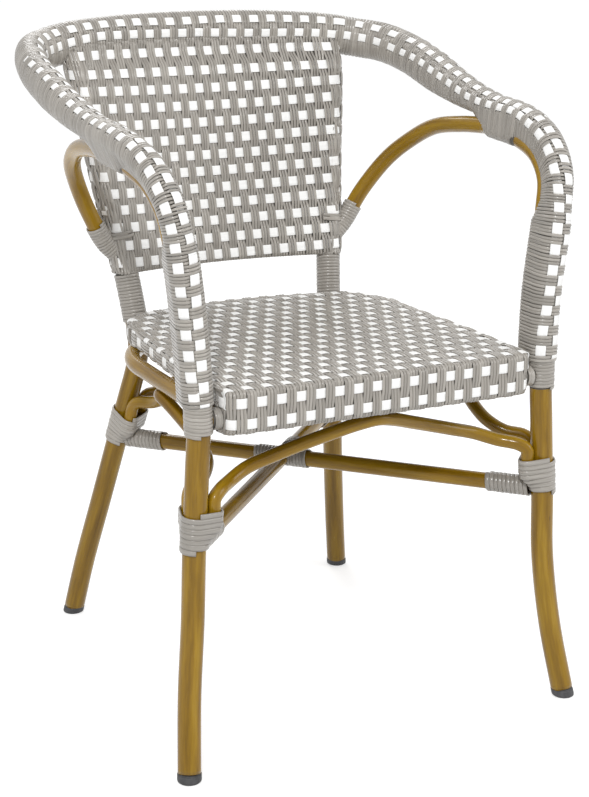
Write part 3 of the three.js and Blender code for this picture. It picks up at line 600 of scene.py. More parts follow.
under_ring = RING_Z - RING_R - GAP - ARCH_R
front_peak = np.array([0, leg_at_ring[1], SEAT_FRONT_LOW - GAP - ARCH_R])
rear_peak = np.array([0, ring_rear, under_ring])
side_peak = np.array([ring_side, SIDE_PEAK_SHARE * HOOP_SIZE[1], under_ring])
half = arch_half(hoop, 0, ARCH_FOOT, front_peak, FRONT_INSET)
arch("front_arch", half, front_peak, half * MIRROR)
half = arch_half(rear, 0, ARCH_FOOT, rear_peak, REAR_INSET)
arch("rear_arch", half, rear_peak, half * MIRROR)
near = arch_half(hoop, -ARCH_FOOT, 0, side_peak, SIDE_INSET)
far = arch_half(rear, ARCH_FOOT, 0, side_peak, SIDE_INSET)
for side, turned in SIDES:
    arch(f"side_arch_{side}", near, side_peak, far, turned)


# Woven sleeves on the hoop: their outlines are radii at even angles from n towards b
WAY = circle(72)
RIB_THICK, SHADE_LINING_INSET = 2.4, 2.9
CORNER_SHARE = 0.86
WHITE_HALF_AT = [0, 235, 330, 590, 680, 780]
WHITE_HALF = [5.4, 5.2, 4.3, 4.5, 5.5, 6.2]
# How far ribs and white strands go out and in where they pass each other
RIB_IN, RIB_OUT, RIB_FADE, RIB_ROUGH, RIB_SWING = -1.3, 0.75, 3.2, 0.08, 0.2
WHITE_OUT, WHITE_IN, WHITE_SINK, WHITE_SINK_LONG = 0.3, 1.7, 1.8, 4
# Arm binding, bend and post: radius over the hoop, and the brace's distance and radius over it
PAIR_SKINS = (16.8, PAIR, 12.3), (16.8, 17, 11.5), (18.3, PAIR, 14.2)


def oval_radii(tall, across):
    return 1 / np.hypot(WAY[:, 0] / tall, WAY[:, 1] / across)


def hull_radii(*circles):
    points, _ = hull(circles, 360)
    angles = np.mod(np.arctan2(points[:, 1], points[:, 0]), 2 * pi)
    order = np.argsort(angles)
    far = np.linalg.norm(points, axis=1)
    even = np.linspace(0, 2 * pi, len(WAY), endpoint=False)
    return np.interp(even, angles[order], far[order], period=2 * pi)


corner_at = hoop.crossing(0, CORNER_SHARE * HOOP_SIZE[0], True)
binding_back, binding_front = hoop.depth(BINDING_BACK), hoop.depth(BINDING_FRONT)
pair_top, pair_bottom = hoop.height(PAIR_TOP), hoop.height(BRACE_BOTTOM)
thick_arm, thin_arm = oval_radii(WEAVE_TALL, WEAVE_ACROSS), oval_radii(ARM_TALL, ARM_ACROSS)
patch, bend, pair = (hull_radii((0, 0, over_hoop), (-off, 0, over_brace))
                     for over_hoop, off, over_brace in PAIR_SKINS)
SKIN_AT = np.array([
    0, hoop.depth(TAPER_FROM), hoop.depth(TAPER_TO), binding_back - 34, binding_back + 6,
    binding_front - 12, binding_front + 10, pair_top - 20, pair_top + 6, 2000,
])
SKIN = np.array([thick_arm, thick_arm, thin_arm, thin_arm, patch, patch, bend, bend, pair, pair])

# Three white strands a side, which turn over the arm: where each shows along the hoop, and its
# angle there
INNER_TOP = [
    330, 32, 353, 28, 378, 30, 402, 30, 426, 30, 451, 29, 476, 30, 503, 35, 530, 38, 555, 40,
    579, 42, 603, 42, 623, 38,
]
INNER = [
    243, 85, 271, 88, 304, 88, 330, 85, 354, 78, 378, 75, 402, 78, 426, 78, 451, 80, 475, 85,
    499, 90, 524, 88, 549, 82, 574, 80, 598, 75, 621, 75, 644, 80,
]
OUTER_TOP = [
    330, -25, 354, -20, 379, -15, 404, -15, 428, -15, 453, -15, 477, -20, 502, -22, 526, -22,
    550, -23, 575, -24, 599, -25, 622, -25, 647, -24,
]


def pairs(*numbers):
    return np.reshape(numbers, (-1, 2))


WHITES = {"left": [
    pairs(
        -22, 93, 2, 92, 26, 92, 51, 90, 75, 88, 99, 85, 123, 82, 148, 78, 172, 80, 196, 82,
        219, 84, *INNER, 668, 80,
    ),
    pairs(
        -7, 46, 18, 48, 43, 48, 67, 45, 91, 42, 115, 40, 140, 38, 164, 38, 189, 38, 214, 36,
        240, 38, 268, 40, 297, 40, *INNER_TOP, 644, 16, 664, 20, 681, 22, 702, 18, 722, 22,
        741, 20, 761, 28, 781, 22, 803, 15, 826, 10, 851, 7, 875, 7, 898, 5, 923, 7, 947, 7,
    ),
    pairs(
        *OUTER_TOP, 668, -32, 689, -35, 708, -40, 729, -40, 748, -40, 769, -39, 789, -40,
        814, -44, 837, -42, 862, -42, 886, -40, 910, -38, 933, -32, 957, -32,
    ),
], "right": [
    pairs(
        -2, 92, 22, 95, 47, 97, 71, 98, 96, 98, 120, 95, 144, 92, 168, 90, 191, 90, 215, 85,
        *INNER, 672, 76, 699, 68, 723, 60, 744, 42, 763, 30, 787, 28, 811, 25, 835, 22, 860, 22,
        884, 28, 908, 38, 932, 42, 956, 42,
    ),
    pairs(
        -18, 48, 6, 46, 31, 45, 55, 45, 80, 45, 104, 42, 129, 42, 153, 40, 177, 40, 200, 38,
        233, 35, 260, 40, 295, 40, *INNER_TOP, 652, 30, 674, 28, 695, 20, 714, 8, 733, -5,
        754, -15, 775, -22, 799, -25, 823, -25, 848, -25, 872, -25, 896, -25, 920, -25, 944, -25,
    ),
    pairs(*OUTER_TOP),
]}
# The strand that the ribs keep step with: three under it where it shows, three over it
STEP = {"left": np.vstack([WHITES["left"][0][:-1], WHITES["left"][1][-14:]]),
        "right": WHITES["right"][0]}


def skin_at(s):
    """Outline points, normals and distances round, at each place along the hoop."""
    points = pick(s, SKIN_AT, SKIN)[..., None] * WAY
    steps = np.linalg.norm(np.roll(points, -1, 1) - points, axis=2)
    arcs = np.concatenate([np.zeros((len(s), 1)), np.cumsum(steps, 1)], 1)
    return points, right_of(points, closed=True), arcs


def white_at(white, s, arcs):
    """A white strand's distance round the outline, and how far it is from showing."""
    turn = np.interp(s, white[:, 0], white[:, 1]) / 360 * len(WAY)
    where = np.mod(turn, len(WAY))
    low = where.astype(int)
    rows = np.arange(len(s))
    arc = arcs[rows, low] + (where - low) * (arcs[rows, low + 1] - arcs[rows, low])
    return arc, np.interp(s, white[:, 0], np.arange(len(white)))


def white_half(s):
    return np.interp(s, WHITE_HALF_AT, WHITE_HALF)


def rib_places(side, start, end):
    """Where the ribs lie along the hoop, six to a step, and how wide each is."""
    steps = STEP[side][:, 0]
    places = np.interp(np.arange(6 * len(steps) - 5) / 6, np.arange(len(steps)), steps)
    inside = (places >= start) & (places < end)
    return places[inside], np.gradient(places)[inside]


def sleeve_ribs(side, start, end):
    """Rings of strand side by side, over or under the white strands."""
    s, pitch = rib_places(side, start, end)
    points, out, arcs = skin_at(s)
    total = arcs[:, -1:]
    rise = random.normal(0, RIB_ROUGH, (len(s), 1)) + np.zeros((1, len(WAY)))
    for white in WHITES[side]:
        arc, index = white_at(white, s, arcs)
        off = np.mod(arcs[:, :-1] - arc[:, None] + total / 2, total) - total / 2
        near = smooth_step((white_half(s)[:, None] + RIB_FADE - np.abs(off)) / RIB_FADE)
        over = np.where(np.cos(2 * pi * index) > 0.05, RIB_IN, RIB_OUT)
        over = np.where((s > white[0, 0]) & (s < white[-1, 0]), over, 0)
        rise = rise + near * over[:, None]
    p, n, b, t = (v[:, None] for v in hoop.at(s))
    swing = WAY[:, 1:] * random.normal(0, RIB_SWING, (len(s), 1, 1))
    centre = around(points + (rise - RIB_THICK / 2)[..., None] * out, n, b, p) + swing * t
    size = np.stack([pitch / 2, np.full(len(s), RIB_THICK / 2)], -1)
    return loft(centre, t, around(out, n, b), (RIB_SECTION * size[:, None])[:, None])


def sleeve_white(white, start, end):
    """A flat strand along a sleeve, curved to its outline."""
    low, high = max(start, white[0, 0]), min(end, white[-1, 0])
    s = np.arange(low, high + 0.01, (high - low) / max(round((high - low) / 1.5), 1))
    points, out, arcs = skin_at(s)
    arc, index = white_at(white, s, arcs)
    up = plateau(2 * index, 2.6)
    buried = np.clip(np.minimum(s - white[0, 0], white[-1, 0] - s) / WHITE_SINK_LONG, 0, 1)
    lift = np.where(up > 0, WHITE_OUT, WHITE_IN) * up - WHITE_SINK * (1 - buried)
    at = np.mod(arc[:, None] + BAND_ACROSS * white_half(s)[:, None], arcs[:, -1:])
    skin = np.concatenate([points, out], 2)
    skin = np.concatenate([skin, skin[:, :1]], 1)
    found = np.stack([pick(*station) for station in zip(at, arcs, skin)])
    drop = WHITE_THICK * (0.5 - BAND_UP)
    place = found[..., :2] + (lift[:, None] - drop)[..., None] * found[..., 2:]
    p, n, b, _ = (v[:, None] for v in hoop.at(s))
    return around(place, n, b, p)


def shade_lining(start, end):
    """A dark skin under a sleeve's strands, painted shade for the shadow inside the sleeve."""
    s = stations(start, end, 6)
    points, out, _ = skin_at(s)
    p, n, b, _ = (v[:, None] for v in hoop.at(s))
    return around((points - SHADE_LINING_INSET * out)[:, ::2], n, b, p)


def sleeve(piece, side, turned, start, end):
    piece.add(sleeve_ribs(side, start, end) * turned, ring=True)
    piece.add(shade_lining(start, end) * turned, slot=1)
    for white in WHITES[side]:
        if start < white[-1, 0] and end > white[0, 0]:
            piece.add_white(sleeve_white(white, start, end) * turned)


rail_weave = Piece()
for side, turned in SIDES:
    sleeve(rail_weave, side, turned, 0, corner_at)
rail_weave.build("top_rail_strands", "top_rail_weave")
for side, turned in SIDES:
    for name, start, end, node in (
        ("arm", corner_at, binding_back, "arm_weave"),
        ("arm_patch", binding_back, binding_front, "arm_binding"),
        ("arm_bend", binding_front, pair_top, "arm_bend_weave"),
        ("arm_post", pair_top, pair_bottom, "arm_post_weave"),
    ):
        piece = Piece()
        sleeve(piece, side, turned, start, end)
        piece.build(f"{name}_strands_{side}", f"{node}_{side}")


# Seat
TOP_Z = SEAT_TOP - 0.6
ROW_FROM = 8.0
INSET = 2.1
SEAT_WHITE_HALF, SEAT_WHITE_LIFT, SEAT_DIP = 5.7, 0.85, 1.3
SEAT_REAR = SEAT_DEPTH - SEAT_FRONT
CORNER_X, CORNER_Y = SEAT_HALF - SEAT_CORNER, SEAT_CORNER - SEAT_FRONT
CORNER_R = SEAT_CORNER - INSET
CORNER_TO = CORNER_X + CORNER_R * pi / 2
CORNER_GROUP = 16
# The rim's strands lie deeper behind RIM_FROM, under the columns, and sink in at their ends
RIM_LIFT, RIM_FROM, RIM_LONG, RIM_DEEP = 0.9, 330, 24, 2.6
RIM_END, RIM_SINK = 14, 1.5


def corner_arc(radius, count):
    """Round the front corner, from the front edge to the side."""
    a = np.linspace(0, pi / 2, count)
    return np.array([CORNER_X, CORNER_Y]) + radius * np.stack([np.sin(a), -np.cos(a)], -1)


# Right side of the seat's outline, from the front corner to the middle of the rear
seat_shape = [[SEAT_HALF, SEAT_CORNER], *SEAT_SHARES * [SEAT_HALF, SEAT_DEPTH], [0, SEAT_DEPTH]]
seat_line = smooth_curve(np.array(seat_shape) - [0, SEAT_FRONT], 2.0)
side_line = np.vstack([corner_arc(SEAT_CORNER, 12), seat_line[1:]])
rear_line = seat_line[seat_line[:, 0].argmax():][::-1]


def half_width(y):
    return np.interp(y, side_line[:, 1], side_line[:, 0])


def on_front(u):
    """Place and turn at a distance from the middle along the front edge, round the corner."""
    turn = np.clip((u - CORNER_X) / CORNER_R, 0, pi / 2)
    x = min(u, CORNER_X) + CORNER_R * sin(turn)
    return x, CORNER_Y - CORNER_R * cos(turn) + max(u - CORNER_TO, 0), turn


def column_profile(u):
    """The way of a strand from under the front edge, over the top and round the rear."""
    x, front, _ = on_front(u)
    low = SEAT_FRONT_LOW + 2.1
    under = [[BEAM - SEAT_FRONT - 4, 414], [BEAM - SEAT_FRONT - 4, low], [front, low]]
    back = np.interp(x, *rear_line.T) - 2.0
    over = [[front, TOP_Z], [back, TOP_Z], [back, SEAT_LOW + 2], [back - 22, SEAT_LOW + 2]]
    if u > (CORNER_GROUP - 0.5) * GROUP:
        over = [[front, TOP_Z], [16, TOP_Z - 0.5], [22, TOP_Z - 4]]
    return rounded(under + over, 6.0)


def from_corner(line):
    """Distance along a column from the front edge's lower corner."""
    s = along(line)
    return s - s[np.argmax(line[:, 0] < line[:, 0].min() + 0.3)]


middle_line = evenly(column_profile(0.0), 1.0)
# Inset and height of the strands from the seat's top over its side to underneath
EDGE = evenly(rounded([[12, TOP_Z], [INSET, TOP_Z], [INSET, SEAT_LOW + 1.4],
                       [22, SEAT_LOW + 1.4]], 5.0), 1.0)
EDGE_OUT = right_of(EDGE)
EDGE_AT = along(EDGE)


def row_at(j):
    """Depth and height of a white row in the middle of the seat."""
    return pick(ROW_FROM + j * ROW, from_corner(middle_line), middle_line)


def seat_columns():
    pieces = {side: Piece() for side, _ in SIDES}
    for number in range(int(CORNER_TO // STRAND) + 1):
        x, _, turn = on_front(number * STRAND)
        line = evenly(column_profile(number * STRAND), 2.9)
        out = -right_of(line)
        front, rear = np.minimum(out[:, 0], 0), np.maximum(out[:, 0], 0)
        rise = xyz(-front * sin(turn), front * cos(turn) + rear, out[:, 1])
        side = unit(np.cross(xyz(0, *np.gradient(line, axis=0).T), rise))
        lift = -plateau((from_corner(line) - ROW_FROM) / ROW + (number + 1) // 3, SEAT_DIP)
        for name, turned in reversed(SIDES):
            if number or name == "right":
                raised = (lift + random.normal(0, STRAND_ROUGH))[:, None] * rise
                grid = loft(xyz(x, *line.T) + raised, side, rise, STRAND_SECTION)
                pieces[name].add(grid * turned)
    return pieces


def band(centre, side, rise, half):
    """A flat strand."""
    return loft(centre, side, rise, np.stack([BAND_ACROSS * half, BAND_UP * WHITE_THICK], -1))


def row_round_corner(piece, j, z):
    """A white row on the front face, on round both corners."""
    tail = [[SEAT_HALF - INSET, 12], [SEAT_HALF - INSET, 24], [SEAT_HALF - 12, 34]]
    right = np.vstack([[0, CORNER_Y - CORNER_R], corner_arc(CORNER_R, 10), tail])
    line = evenly(both_ways(right), 1.8)
    out = right_of(line)
    far = np.abs(along(line) - along(line)[-1] / 2)
    place = line + (SEAT_WHITE_LIFT * plateau(far / GROUP + j, 2.2))[:, None] * out
    piece.add_white(band(xyz(*place.T, z), UP, xyz(*out.T, 0), SEAT_WHITE_HALF))


def row_across(piece, j, y, z):
    """A white row over the seat's top and round both sides."""
    edge = half_width(y) - (3 if y > 340 else 0)
    x = np.arange(0, edge - 12, 2.0)
    path = np.vstack([xyz(x, y, z), xyz(edge - EDGE[:, 0], y, EDGE[:, 1])])
    normal = np.vstack([xyz(0 * x, 0, 1), xyz(-EDGE_OUT[:, 0], 0, EDGE_OUT[:, 1])])
    index = np.concatenate([x / GROUP + j, EDGE_AT / GROUP - 0.5 + j])
    path = path + (SEAT_WHITE_LIFT * plateau(index, 2.2))[:, None] * normal
    piece.add_white(band(both_ways(path), BACK, unit(both_ways(normal)), SEAT_WHITE_HALF))


def seat_rows(piece):
    for j in (0, 1):
        row_round_corner(piece, j, row_at(j)[1])
    j = 2
    while row_at(j)[0] <= SEAT_REAR - 9:
        row_across(piece, j, *row_at(j))
        j += 1


def seat_rim(piece):
    """Strands that run along the seat's sides and rear, over and under the rows."""
    right = np.vstack([[SEAT_HALF, 2.0], seat_line[seat_line[:, 1] > 4]])
    path = evenly(np.vstack([right, (right * [-1, 1])[-2::-1]]), 3.0)
    out, s = right_of(path), along(path)
    covered = smooth_step((path[:, 1] - RIM_FROM) / RIM_LONG)
    ends = smooth_step((RIM_END - np.minimum(s, s[-1] - s)) / RIM_END)
    index = (path[:, 1] - row_at(2)[0]) / ROW + 2
    for k in range(int(EDGE_AT[-1] // STRAND)):
        inset, z, ni, nz = pick((k + 0.5) * STRAND, EDGE_AT, np.hstack([EDGE, EDGE_OUT]))
        lift = -RIM_LIFT * plateau(index + k // 3, SEAT_DIP) * (1 - covered) - RIM_SINK * ends
        place = path - out * (inset + lift * ni + RIM_DEEP * covered)[:, None]
        rise = unit(xyz(*(-out * ni).T, nz))
        side = unit(np.cross(xyz(*way_of(path).T, 0), rise))
        piece.add(loft(xyz(*place.T, z + lift * nz), side, rise, STRAND_SECTION))


def corner_strands(piece):
    """Upright strands behind the front corners, below the rim."""
    z = np.arange(SEAT_FRONT_LOW + 2, SEAT_LOW + 6, 2.0)
    index = (z - SEAT_FRONT_LOW - ROW_FROM) / ROW
    for number in range(int(CORNER_TO // STRAND) + 1, int((CORNER_TO + 16) // STRAND)):
        x, y, _ = on_front(number * STRAND)
        lift = -plateau(index + (number + 1) // 3, SEAT_DIP)
        grid = loft(xyz(x + lift, y, z), BACK, RIGHT, STRAND_SECTION)
        piece.add(grid)
        piece.add(grid * MIRROR)


def seat_shade_lining(piece):
    """A dark sheet under the seat's strands, painted shade for the shadow inside the seat."""
    y = np.arange(-SEAT_FRONT + 8, SEAT_REAR - 6, 8.0)
    x = half_width(y) - 6
    corners = ((-1, 4), (1, 4), (1, 6), (-1, 6))
    piece.add(np.stack([xyz(way * x, y, TOP_Z - drop) for way, drop in corners], 1), slot=1)


for side, columns in seat_columns().items():
    columns.build(f"seat_columns_{side}", "seat_weave")
woven("seat_rows_and_rim", "seat_weave", seat_rows, seat_rim, corner_strands, seat_shade_lining)


# Back panel: rows' heights up its middle, and columns
PANEL_ROWS = np.array([497.5, 518.6, 540.6, 561.9, 582.0, 603.0, 623.5, 643.8, 665.0, 686.2,
                       708.0, 730.3, 753.6])
COLUMN, COLUMN_FROM = 11.75, 9.5
PANEL_R = PANEL_HALF - INSET
PANEL_DIP, PANEL_DIP_SHARP = 1.1, 2.4
PANEL_WHITE_HALF, PANEL_WHITE_LIFT, LEAN_OVER = 6.1, 0.95, 5.0
PANEL_SHADE_LINING_INSET = 5.2
# How the panel closes on the rail, and how its rows rise towards the posts
CLOSING_LOW, CLOSING_LONG, CLOSING_WIDE = 44, 30, 50
ROW_RISE, RISE_TOP, RISE_FADE, RISE_LEAST = 0.00018, 760, 60, 0.3
rail_line = hoop.p[: len(hoop.p) // 3]
post_line = rear.p[np.argsort(rear.p[:, 2])]


def hoop_top(x):
    """Height and depth of the top rail."""
    return [np.interp(np.abs(x), rail_line[:, 0], rail_line[:, k]) for k in (2, 1)]


def post_at(z):
    """Distance from the middle and depth of a back post."""
    return [np.interp(z, post_line[:, 2], post_line[:, k]) for k in (0, 1)]


def post_bend(px, radius, count):
    """Half a circle round a post, from front to rear."""
    turn = np.linspace(-pi / 2, pi / 2, count)
    return np.stack([px + radius * np.cos(turn), radius * np.sin(turn)], -1)


def panel_middle(x, z):
    """Depth of the panel's middle surface."""
    px, py = post_at(z)
    top = hoop_top(x)[0] - PANEL_TOP_SHARE * WEAVE_TALL
    share = np.clip((z - PANEL_BOTTOM) / (top - PANEL_BOTTOM), 0, 1)
    bow = PANEL_BOW + share * (PANEL_TOP_BOW - PANEL_BOW)
    return py + bow * (1 - np.clip(x / px, -1, 1) ** 2)


def panel_surface(x, z, away, depth):
    """Depth away from the panel's middle, -1 front to 1 rear, closing on the rail on top."""
    px, _ = post_at(z)
    past = np.clip(np.abs(x) - px, 0, depth)
    y = panel_middle(x, z) + away * np.sqrt(depth**2 - past**2)
    rail_z, rail_y = hoop_top(x)
    closing = smooth_step((z - rail_z + CLOSING_LOW) / CLOSING_LONG)
    closing = closing * smooth_step((px - np.abs(x)) / CLOSING_WIDE)
    rail_face = rail_y + away * (WEAVE_ACROSS - 0.6 - (PANEL_R - depth))
    return y + closing * np.where(away < 0, np.maximum(rail_face - y, 0),
                                  np.minimum(rail_face - y, 0))


def row_rise(x, z):
    """How much a row rises towards the posts, which is less high up."""
    return ROW_RISE * x**2 * np.clip((RISE_TOP - z) / RISE_FADE, RISE_LEAST, 1)


def row_index(x, z):
    """Row number at a height."""
    rows = np.concatenate([[PANEL_ROWS[0] - 22], PANEL_ROWS, [PANEL_ROWS[-1] + 22]])
    return np.interp(z - row_rise(x, z), rows, np.arange(-1, len(rows) - 1))


def column_index(x):
    return (x - COLUMN_FROM) / COLUMN


def panel_column(x, away):
    """One strand from inside the lower edge up a face of the panel and into the rail."""
    z = np.arange(PANEL_BOTTOM + 12, hoop_top(x)[0] - 4, 1.0)
    z = z[np.abs(x) < post_at(z)[0] + 5]
    if len(z) < 12:
        return None
    line = np.column_stack([panel_surface(x, z, away, PANEL_R), z])
    if z[0] < PANEL_BOTTOM + 13:
        low = PANEL_BOTTOM + 1.6
        edge = [panel_middle(x, low), low], [panel_surface(x, low, away, PANEL_R), low]
        line = np.vstack([rounded([*edge, line[0]], 8.0)[:-1], line])
    return evenly(line, 2.6)


def panel_columns(piece, away):
    for i in range(-17, 17):
        for k in (-1, 0, 1):
            x = COLUMN_FROM + i * COLUMN + k * COLUMN / 3
            line = panel_column(x, away)
            if line is None:
                continue
            rise = right_of(line) * away
            lift = -PANEL_DIP * plateau(row_index(x, line[:, 1]) + i, PANEL_DIP_SHARP)
            lift = np.where(line[:, 1] < PANEL_BOTTOM + 4, 0, lift)
            lift = lift + random.normal(0, STRAND_ROUGH)
            centre = xyz(x, *(line + lift[:, None] * rise).T)
            section = RIB_SECTION * [COLUMN / 6, 1.1]
            piece.add(loft(centre, RIGHT, xyz(0, *rise.T), section))


def panel_ring(z, inset, spacing=2.0):
    """A ring round the panel: front face from left to right, then the rear face."""
    px, _ = post_at(z)
    radius = PANEL_HALF - inset
    end = post_bend(px, radius, 13)
    front = evenly([[-px, -radius], [px, -radius]], spacing)[:-1]
    rear_face = evenly([[px, radius], [-px, radius]], spacing)[1:-1]
    closed = np.vstack([front, end, rear_face, (end * [-1, 1])[:0:-1], front[:1]])
    return evenly(closed, spacing)[:-1], px


def panel_rows(piece):
    for j, middle in enumerate(PANEL_ROWS):
        ring, px = panel_ring(middle, INSET)
        x, face = ring[:, 0], np.abs(ring[:, 0]) < px
        bend_on = np.arctan2(ring[:, 1], np.abs(x) - px) * PANEL_HALF / GROUP
        edge = np.round(column_index(np.sign(x) * px))
        up = plateau(np.where(face, column_index(x), bend_on + edge) + j, 2.2)
        inside, away = np.clip(x, -px, px), np.sign(ring[:, 1])
        z = middle + row_rise(inside, middle)
        y, above, below = (
            np.where(face, panel_surface(inside, h, away, PANEL_R),
                     panel_surface(px, h, away, np.abs(ring[:, 1])))
            for h in (z, z + LEAN_OVER, z - LEAN_OVER))
        out = xyz(*right_of(ring, closed=True).T, 0)
        centre = xyz(x, y, z) + (PANEL_WHITE_LIFT * up)[:, None] * out
        side = unit(xyz(0, (above - below) / (2 * LEAN_OVER), 1))
        onwards = unit(np.roll(centre, -1, 0) - np.roll(centre, 1, 0))
        rise = unit(np.cross(onwards, side))
        piece.add_white(band(centre, side, rise, PANEL_WHITE_HALF), ring=True)


def panel_edges(piece):
    """Strands that follow each post round the panel's edge."""
    count = int(radians(96) * PANEL_R // STRAND)
    z = np.arange(PANEL_BOTTOM + 1, hoop_top(170.0)[0] - 8, 2.6)
    px, _ = post_at(z)
    for k in range(-count, count + 1):
        angle = k * STRAND / PANEL_R
        ahead, aside = sin(angle), cos(angle)
        index = row_index(px, z) + np.round(column_index(px)) + round(angle * PANEL_HALF / GROUP)
        lift = -PANEL_DIP * plateau(index, PANEL_DIP_SHARP) - 1.2 * (abs(k) == count)
        r = PANEL_R + lift
        y = panel_surface(px, z, np.sign(angle), r * abs(ahead))
        for sign in (1, -1):
            centre = xyz(sign * (px + r * aside), y, z)
            way = way_of(centre)
            side = unit(np.cross(way, [sign * aside, ahead, 0.0]))
            rise = unit(np.cross(side, way))
            piece.add(loft(centre, side, rise, STRAND_SECTION))


# A dark sheet inside the back panel, painted shade for the shadow between its faces.
def panel_shade_lining(piece):
    rings = []
    for z in np.linspace(PANEL_BOTTOM + 3, hoop_top(0.0)[0] - 16, 26):
        ring, px = panel_ring(z, PANEL_SHADE_LINING_INSET, 4.0)
        far = along(ring)
        x, deep = pick(np.linspace(0, 1, 150, endpoint=False) * far[-1], far, ring).T
        depth = np.minimum(np.abs(deep), PANEL_HALF - PANEL_SHADE_LINING_INSET)
        rings.append(xyz(x, panel_surface(np.clip(x, -px, px), z, np.sign(deep), depth), z))
    piece.add(np.array(rings), slot=1)


for away, word in ((-1, "front"), (1, "rear")):
    columns = Piece()
    panel_columns(columns, away)
    columns.build(f"back_columns_{word}", "back_weave")
woven("back_rows_and_edges", "back_weave", panel_rows, panel_edges, panel_shade_lining)


# Plain windings
LEG = (0, 0, MAIN_R + 0.3)
FOOT_R = ARCH_R + 0.4
TAPER_SHARES = (0.35, 0.95)
# Width, thickness and lean of a turn
BASE_TURN, RAIL_TURN, RING_TURN = (4.4, 2.6, 1.2), (4.0, 2.2, 0.4), (4.2, 2.2, 0.4)
POST_TURN, BRACE_TURN, LEG_TURN = (4.4, 2.6, 0.5), (4.4, 2.2, 0.5), (6.6, 2.9, 0.6)
LONG_TURN, CROSSING_TURN = (6.0, 2.4, 0.8), (4.6, 2.0, 0.8)
# Height above the brace's foot, slope and reach along the back of each crossed strand
LASHINGS = [(22, -0.3, 12), (25, -0.12, 15), (29.5, -0.12, 15)]
LASHING_OUT, LASHING_SINK, LASHING_END, LASHING_SIZE = 0.6, 3.0, 8, [2.4, 1.2]


def winding(piece, rail, start, end, outline, turn, turned, last=None):
    """One strand wound in close turns round an outline, which may pass to another."""
    width, thick, lean = turn
    turns = max(int(round((end - start) / width)), 1)
    pitch = (end - start) / turns
    per = len(outline[0])
    k = np.arange(turns * per)
    arc = k / per
    p, n, b, t = rail.at(start + pitch / 2 + (end - start - pitch) * arc / turns)
    share = smooth_step((arc / turns - TAPER_SHARES[0]) / (TAPER_SHARES[1] - TAPER_SHARES[0]))
    up, out = (first[k % per] + share[:, None] * (other[k % per] - first[k % per])
               for first, other in zip(outline, last or outline))
    out = unit(out)
    wobble = 0.12 * np.sin(arc * 2.1) + 0.1 * np.sin(arc * 2 * pi * 1.37)
    off = up + (thick / 2 + wobble)[:, None] * out
    centre = around(off, n, b, p) + (lean * np.cos(2 * pi * arc))[:, None] * t
    grid = loft(centre, t, around(out, n, b), RIB_SECTION * [pitch / 2, thick / 2])
    piece.add(grid * turned)


def wound(name, node, rail, start, end, circles, turn, turned=1):
    piece = Piece()
    winding(piece, rail, start, end, hull(circles, 32), turn, turned)
    piece.build(name, node)


def leg_binding(corner, rail, beside, turned):
    """Round a leg and the two arch feet beside it, then round the leg alone."""
    points, normals = hull([LEG, (0, ARCH_FOOT, FOOT_R), (beside, 0, FOOT_R)], 40)
    leg_only = (LEG[2] * unit(points), unit(points))
    piece = Piece()
    winding(piece, rail, rail.height(BAND_TOP), rail.height(BAND_BOTTOM), (points, normals),
            LEG_TURN, turned, leg_only)
    piece.build(f"leg_strands_{corner}", f"leg_binding_{corner}")


def lashing(piece, turned):
    """Crossed strands over the edge of the back, where the brace starts."""
    radius = PANEL_HALF + LASHING_OUT
    for above, slope, inward in LASHINGS:
        level = BRACE_FOOT_Z + above
        px, _ = post_at(level)
        flat = np.array([[px - inward, -radius], [px - 6, -radius]])
        line = evenly(np.vstack([flat, post_bend(px, radius, 17), flat[::-1] * [1, -1]]), 2.0)
        far, out = along(line), right_of(line)
        z = level + slope * (far - far[-1] / 2) * np.sign(far[-1] / 2 - far)
        sink = LASHING_SINK * smooth_step(1 - np.minimum(far, far[-1] - far) / LASHING_END)
        x, deep = (line - sink[:, None] * out).T
        centre, rise = xyz(x, panel_middle(px, z) + deep, z), xyz(*out.T, 0)
        side = unit(np.cross(np.gradient(centre, axis=0), rise))
        piece.add(loft(centre, side, rise, RIB_SECTION * LASHING_SIZE) * turned)


for side, turned in SIDES:
    base = Piece()
    winding(base, hoop, pair_bottom - 5, hoop.height(BASE_BOTTOM), hull([LEG], 32), BASE_TURN,
            turned)
    for rail, long, radius, turn in ((front_rail, 12, RING_R + 0.3, RAIL_TURN),
                                     (ring, 14, RING_R + 0.2, RING_TURN)):
        winding(base, rail, rail.length - long, rail.length, hull([(0, 0, radius)], 28), turn,
                turned)
    base.build(f"front_post_strands_{side}", f"front_post_wrap_{side}")
    wound(f"back_post_strands_{side}", f"back_post_wrap_{side}", rear,
          rear.height(PANEL_BOTTOM + 2), rear.height(SEAT_LOW + 4), [LEG], POST_TURN, turned)
    lashed = Piece()
    winding(lashed, brace, 12, 62, hull([(0, 0, BRACE_R + 0.3)], 32), BRACE_TURN, turned)
    lashing(lashed, turned)
    lashed.build(f"brace_end_strands_{side}", f"brace_end_wrap_{side}")
    leg_binding(f"front_{side}", hoop, -ARCH_FOOT, turned)
    leg_binding(f"rear_{side}", rear, ARCH_FOOT, turned)


# Stretchers
STRETCHER_Z = 266.09
STRETCHER_FROM, WRAP_LONG, BARE_FROM = 12.0, 58.0, 9.0
CROSSING_HALF, CROSSING_SHORT = 37.0, 26.0
WRAP_SKIN = STRETCHER_R + GAP + 2.8
ROUND = [(0, 0, STRETCHER_R + 0.2)]
near_leg = hoop.point(hoop.height(STRETCHER_Z))
far_leg = rear.point(rear.height(STRETCHER_Z)) * MIRROR
inwards = STRETCHER_FROM * unit(far_leg - near_leg)
stretcher = bent_line([near_leg + inwards, far_leg - inwards])
middle = stretcher.crossing(0, 0)
bare_to, rear_wrap = stretcher.length - BARE_FROM, stretcher.length - WRAP_LONG
for name, start, end, turned in (
    ("through", BARE_FROM, bare_to, 1),
    ("half_front", BARE_FROM, middle - WRAP_SKIN + 1, MIRROR),
    ("half_rear", middle + WRAP_SKIN - 1, bare_to, MIRROR),
):
    tube(f"stretcher_{name}", stretcher, start, end, STRETCHER_R, turned=turned, spacing=8.0)

